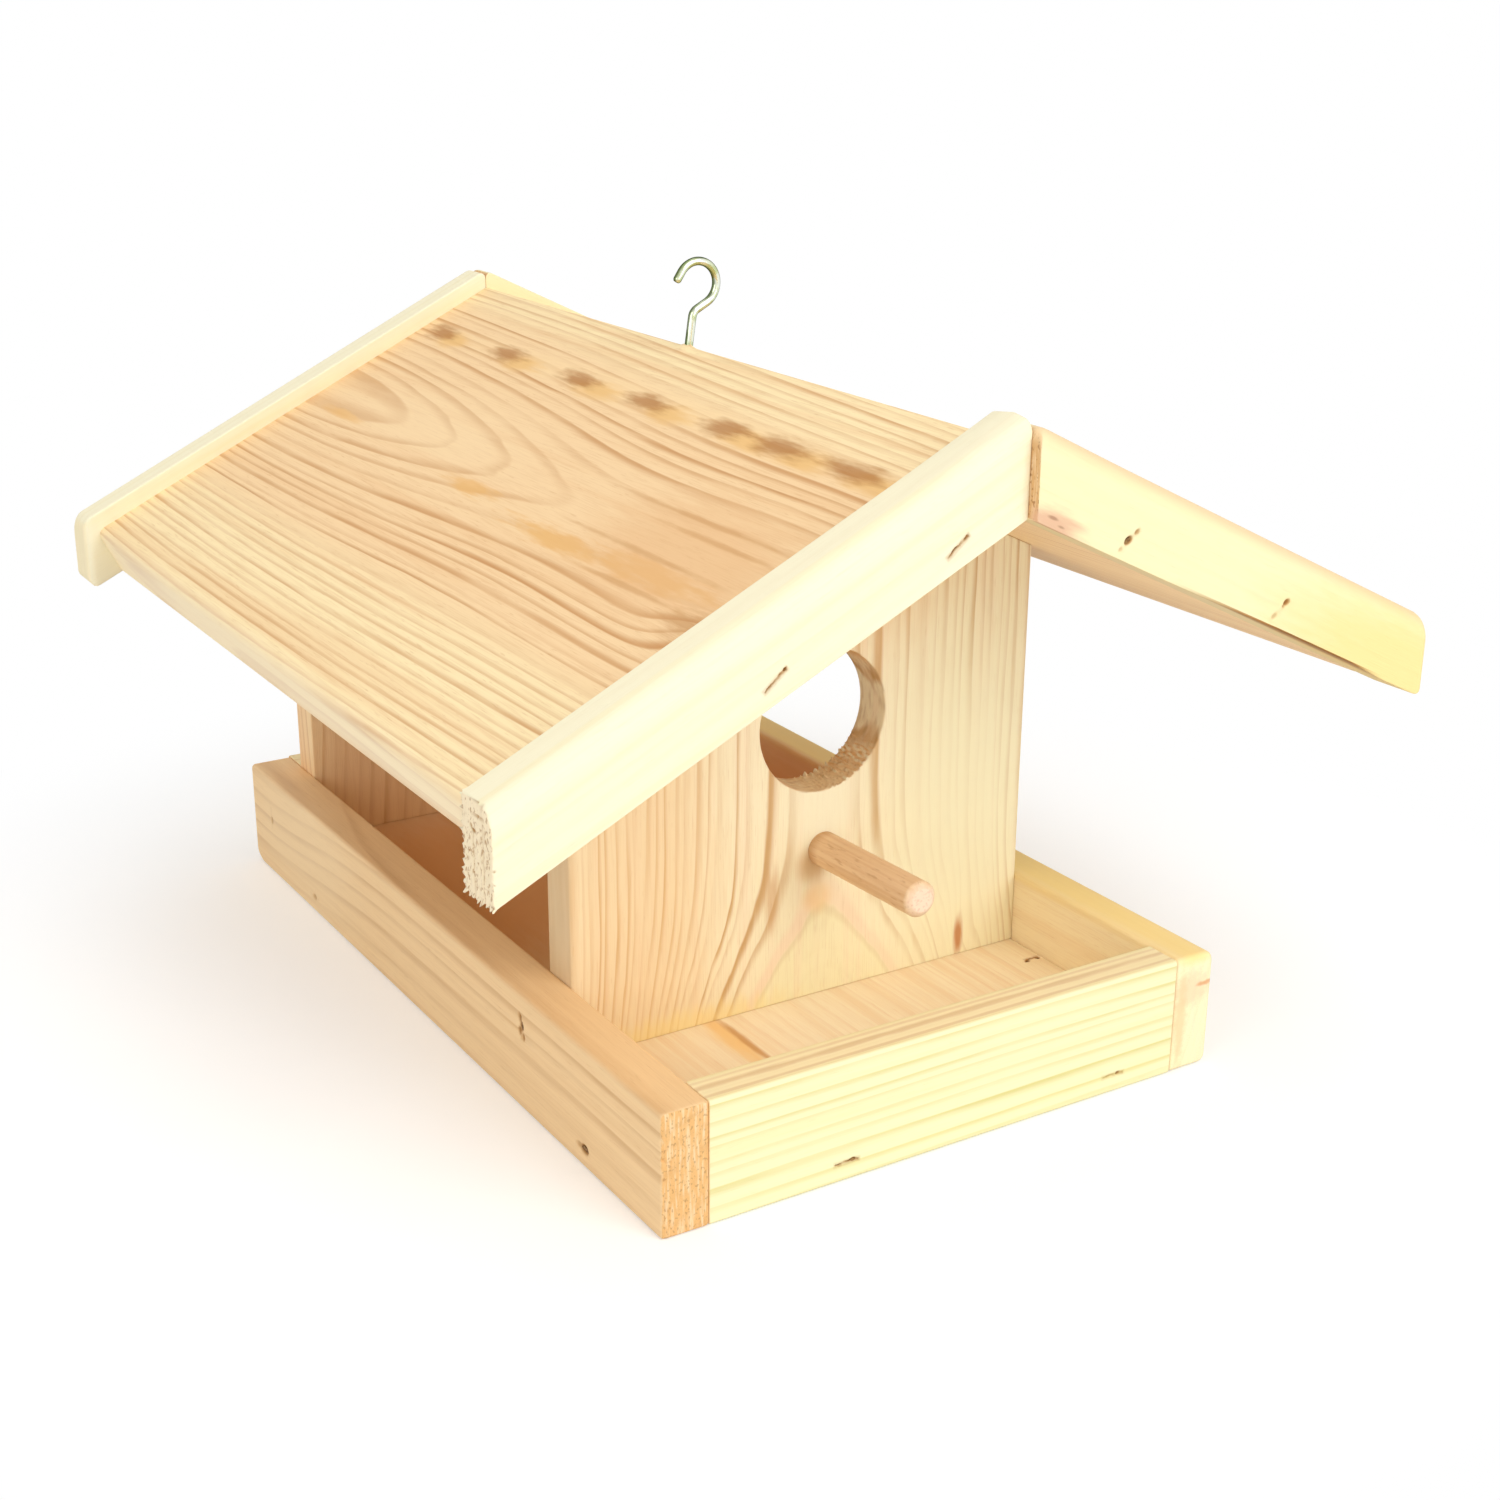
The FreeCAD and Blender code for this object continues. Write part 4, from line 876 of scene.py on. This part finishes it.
def gap_with_painted_shade(vertices, bruise_and_shade):
    """Right front barge: its underside is painted browner than its face as shade, and over the lower half a
    groove opens behind the front edge, bell-shaped, widening down the slope and stopping short of the foot;
    painted shadow darkens the groove into a dark gap."""
    x, y, z = vertices.T
    height = (z - PEAK + x * SLOPE) * COS
    window = np.clip((x - 55) / 40, 0, 1) * np.clip((131 - x) / 3, 0, 1)
    inward = np.clip(y - RIGHT_FACE + RIGHT_LEAN - 0.5, 0, None)
    groove = np.exp(-(inward / (1.5 + 2.5 * window)) ** 4) * np.clip((1.1 - height) / 0.6, 0, 1)
    moved = vertices.copy()
    moved[:, 2] += 0.7 * window * groove
    # Painted shade on the underside, and painted shadow in the groove.
    under = 0.34 * (height < 0.05) * (inward > 0.3)
    return moved, np.maximum(np.maximum(bruise_and_shade, under), 1.08 * np.sqrt(window) * groove)


barge("barge_front_left", left_pale, "front_left_barge", -1, LEFT_END, LEFT_FRONT, -1, left_places, top_round=1.4,
      tight=2.6, crest=1.2, cap=26, torn=True, rough=sawn_end)
barge("barge_front_right", right_pale, "front_right_barge", 1, RIGHT_END, RIGHT_FRONT, -1, right_places, foot=2.2,
      top_round=4.6, foot_round=4.5, lean=RIGHT_LEAN, tight=4.2, rough=gap_with_painted_shade)
barge("barge_rear_left", rear_pale, "rear_left_barge", -1, LEFT_END + 1.8, FLOOR_END, 1, left_places, foot=2.8,
      foot_round=4.0)
barge("barge_rear_right", right_pale, "rear_right_barge", 1, RIGHT_END, FLOOR_END, 1, rear_right_places, foot=2.0,
      foot_round=3.0)

# Screw hook: zinc-plated wire turned into an open loop over a neck, its cut thread buried in the ridge.
# Painted shade darkens it along its inner and outer sides, where the round wire's edges fall dark. Screwed in by
# hand, so it is the piece that turns.
WIRE = 1.42
SCREW = 32
PITCH_OF_THREAD = 1.4
zinc, shader, place, _ = new_material("plated_wire")
cloud = noise(place, 160, 2)["Fac"]
fine = noise(place, 1800, 2)["Fac"]
color = blend(step(cloud, 0.44, 0.62, 0, 0.8), tone(240, 244, 226), tone(190, 202, 138))
# Painted shade along the wire's inner and outer sides, read from the vertex attribute.
painted_edge_shade = add(zinc.node_tree, "Attribute", attribute_name="bruise_and_shade")["Fac"]
color = blend(step(painted_edge_shade, 0.25, 0.95, 0, 0.95), color, tone(86, 102, 54))
feed(shader, {"Base Color": color, "Roughness": step(cloud, 0.3, 0.7, 0.10, 0.20), "Metallic": 1.0,
              "Specular Tint": tone(100, 104, 84), "Normal": bumped(fine, 0.01, 0.0001)})


def hook_path():
    """Centre line of the hook in X and Z, as the running sum of short steps along a heading that each
    stretch (length, turn in degrees, steps) changes evenly: straight up the screw, a neck leaning to the
    right, a bend, a short straight, the loop and its straight tip. Gives points and unit directions."""
    stretches = np.array([(28, 0, 200), (1, -8.5, 6), (12.75, 0, 30), (3.19, -53.5, 18), (4.15, 0, 12),
                          (26.73, 208.1, 120), (3.68, 0, 14)])
    length, turn, steps = stretches[:, 0], np.radians(stretches[:, 1]), stretches[:, 2].astype(int)
    stride = np.repeat(length / steps, steps)
    change = np.repeat(turn / steps, steps)
    heading = np.pi / 2 + np.cumsum(change) - change / 2
    moves = stride[:, None] * np.stack([np.cos(heading), np.sin(heading)], 1)
    points = np.array([0, RIDGE - SCREW]) + np.concatenate([np.zeros((1, 2)), np.cumsum(moves, 0)])
    ahead = np.gradient(points, axis=0)
    return points, ahead / np.linalg.norm(ahead, axis=1)[:, None]


points, ahead = hook_path()
angle = np.linspace(0, 2 * np.pi, 28, endpoint=False)
size = np.full((len(points), len(angle)), WIRE)
buried = np.clip((RIDGE - 4.0 - points[:, 1]) / 0.8, 0, 1)
thread = 0.5 + 0.5 * np.sin(points[:, 1:] / PITCH_OF_THREAD * 2 * np.pi + angle[None])
size = size - buried[:, None] * 0.35 * thread
size *= np.clip((points[:, 1:] - RIDGE + SCREW + 0.2) / 3.5, 0.08, 1)
tip = np.clip((np.arange(len(points)) - len(points) + 5) / 5.0, 0, 1)
size *= np.sqrt(1 - 0.85 * tip ** 2)[:, None]
side = np.stack([ahead[:, 1], -ahead[:, 0]], 1)
x = points[:, :1] + side[:, :1] * size * np.cos(angle)
z = points[:, 1:] + side[:, 1:] * size * np.cos(angle)
grid = np.stack([x, HOOK_Y + size * np.sin(angle), z], 2)
poles = np.array([[points[0, 0], HOOK_Y, points[0, 1]], [points[-1, 0], HOOK_Y, points[-1, 1]]])
vertices, faces = closed_board(grid, poles)
# Painted shade: darker towards the wire's inner and outer sides, where its round edges fall dark.
painted_edge_shade = np.repeat(np.abs(np.cos(angle))[None] ** 1.6, len(points), 0).ravel()
painted_edge_shade = np.append(painted_edge_shade, [0.5, 0.5]) * (0.9 + 0.25 * ripple(vertices, 6.0, 52))
new_piece("hanging_hook", vertices, faces, zinc, "plated_hook", ["screw_hook"], body="hook", bruise_and_shade=painted_edge_shade)

# Studio: a plain pale floor under the tray, white all round, and soft lamps from the front right, the front,
# above and the left, so weak that a colour comes out about as it is written.
WHITE = (1, 1, 1, 1)
TARGET = (0, 0, 0.1)
FAR = 6
BELOW = -0.0002


def seen_directly(tree):
    """One for rays that come from the camera, off a gloss or through glass, and nothing for the others."""
    seen = add(tree, "LightPath")
    camera, glossy, through = (seen["Is %s Ray" % kind] for kind in ("Camera", "Glossy", "Transmission"))
    return camera.math("MAXIMUM", glossy.math("MAXIMUM", through))


floor_paint, shader, place, _ = new_material("studio_floor")
tree = floor_paint.node_tree
feed(shader, {"Base Color": (0.86, 0.86, 0.85, 1), "Roughness": 0.9, "Specular IOR Level": 0.1})
direct = seen_directly(tree)
white = add(tree, "Emission", {"Color": WHITE, "Strength": 1.0})["Emission"]
lift = add(tree, "Emission", {"Color": WHITE, "Strength": direct * 0.25})["Emission"]
pale = add(tree, "AddShader", {0: Flow(shader.outputs[0]), 1: lift})["Shader"]
fade = step(place.math("LENGTH"), 0.17, 0.36) * direct
mixed = add(tree, "MixShader", {0: fade, 1: pale, 2: white})["Shader"]
feed(tree.nodes["Material Output"], {"Surface": mixed})
mesh = bpy.data.meshes.new("studio_floor")
mesh.from_pydata([(-FAR, -FAR, BELOW), (FAR, -FAR, BELOW), (FAR, FAR, BELOW), (-FAR, FAR, BELOW)], [], [(0, 1, 2, 3)])
mesh.materials.append(floor_paint)
ground_plane = bpy.data.objects.new("studio_floor", mesh)
scene.collection.objects.link(ground_plane)

world = bpy.data.worlds.new("studio")
world.use_nodes = True
scene.world = world
strength = step(seen_directly(world.node_tree), 0, 1, 0.55, 1)
feed(world.node_tree.nodes["Background"], {"Color": WHITE, "Strength": strength})


def stand(name, data, right, up, back, place):
    """Puts a lamp or camera into the scene at a place, by its right, up and backward directions."""
    thing = bpy.data.objects.new(name, data)
    thing.matrix_world = Matrix([[right[k], up[k], back[k], place[k]] for k in range(3)] + [[0, 0, 0, 1]])
    scene.collection.objects.link(thing)
    return thing


for name, place, size, power in (
        ("key", (0.55, -1.8, 0.95), (1.2, 1.7), 17.0), ("front", (0.0, -1.4, 1.9), (1.2, 1.0), 7.0),
        ("top", (-0.3, 0.3, 2.2), (1.6, 1.6), 6.5), ("fill", (-1.9, -0.7, 0.9), (1.3, 1.3), 11.2)):
    light = bpy.data.lights.new(name, "AREA")
    light.shape = "RECTANGLE"
    light.size, light.size_y = size
    light.energy = power
    back = np.array(place, float) - np.array(TARGET, float)
    back /= np.linalg.norm(back)
    right = np.cross([0, 0, 1], back)
    right /= np.linalg.norm(right)
    stand(name, light, right, np.cross(back, right), back, place)

# Camera at the photograph's place: its right, up and forward directions and its focal length come from the
# tray's and the roof's edges in the picture.
view = bpy.data.cameras.new("view")
view.sensor_width = 36.0
view.lens = 52.452
view.clip_start = 0.01
right = np.array([0.84850, -0.52915, 0.00644])
forward = np.array([0.49883, 0.79569, -0.34358])
forward /= np.linalg.norm(forward)
right -= forward * (right @ forward)
right /= np.linalg.norm(right)
camera = stand("view", view, right, np.cross(right, forward), -forward, (-0.37243, -0.63908, 0.34932))
scene.camera = camera
scene.view_settings.view_transform = "Standard"

bpy.context.view_layer.update()
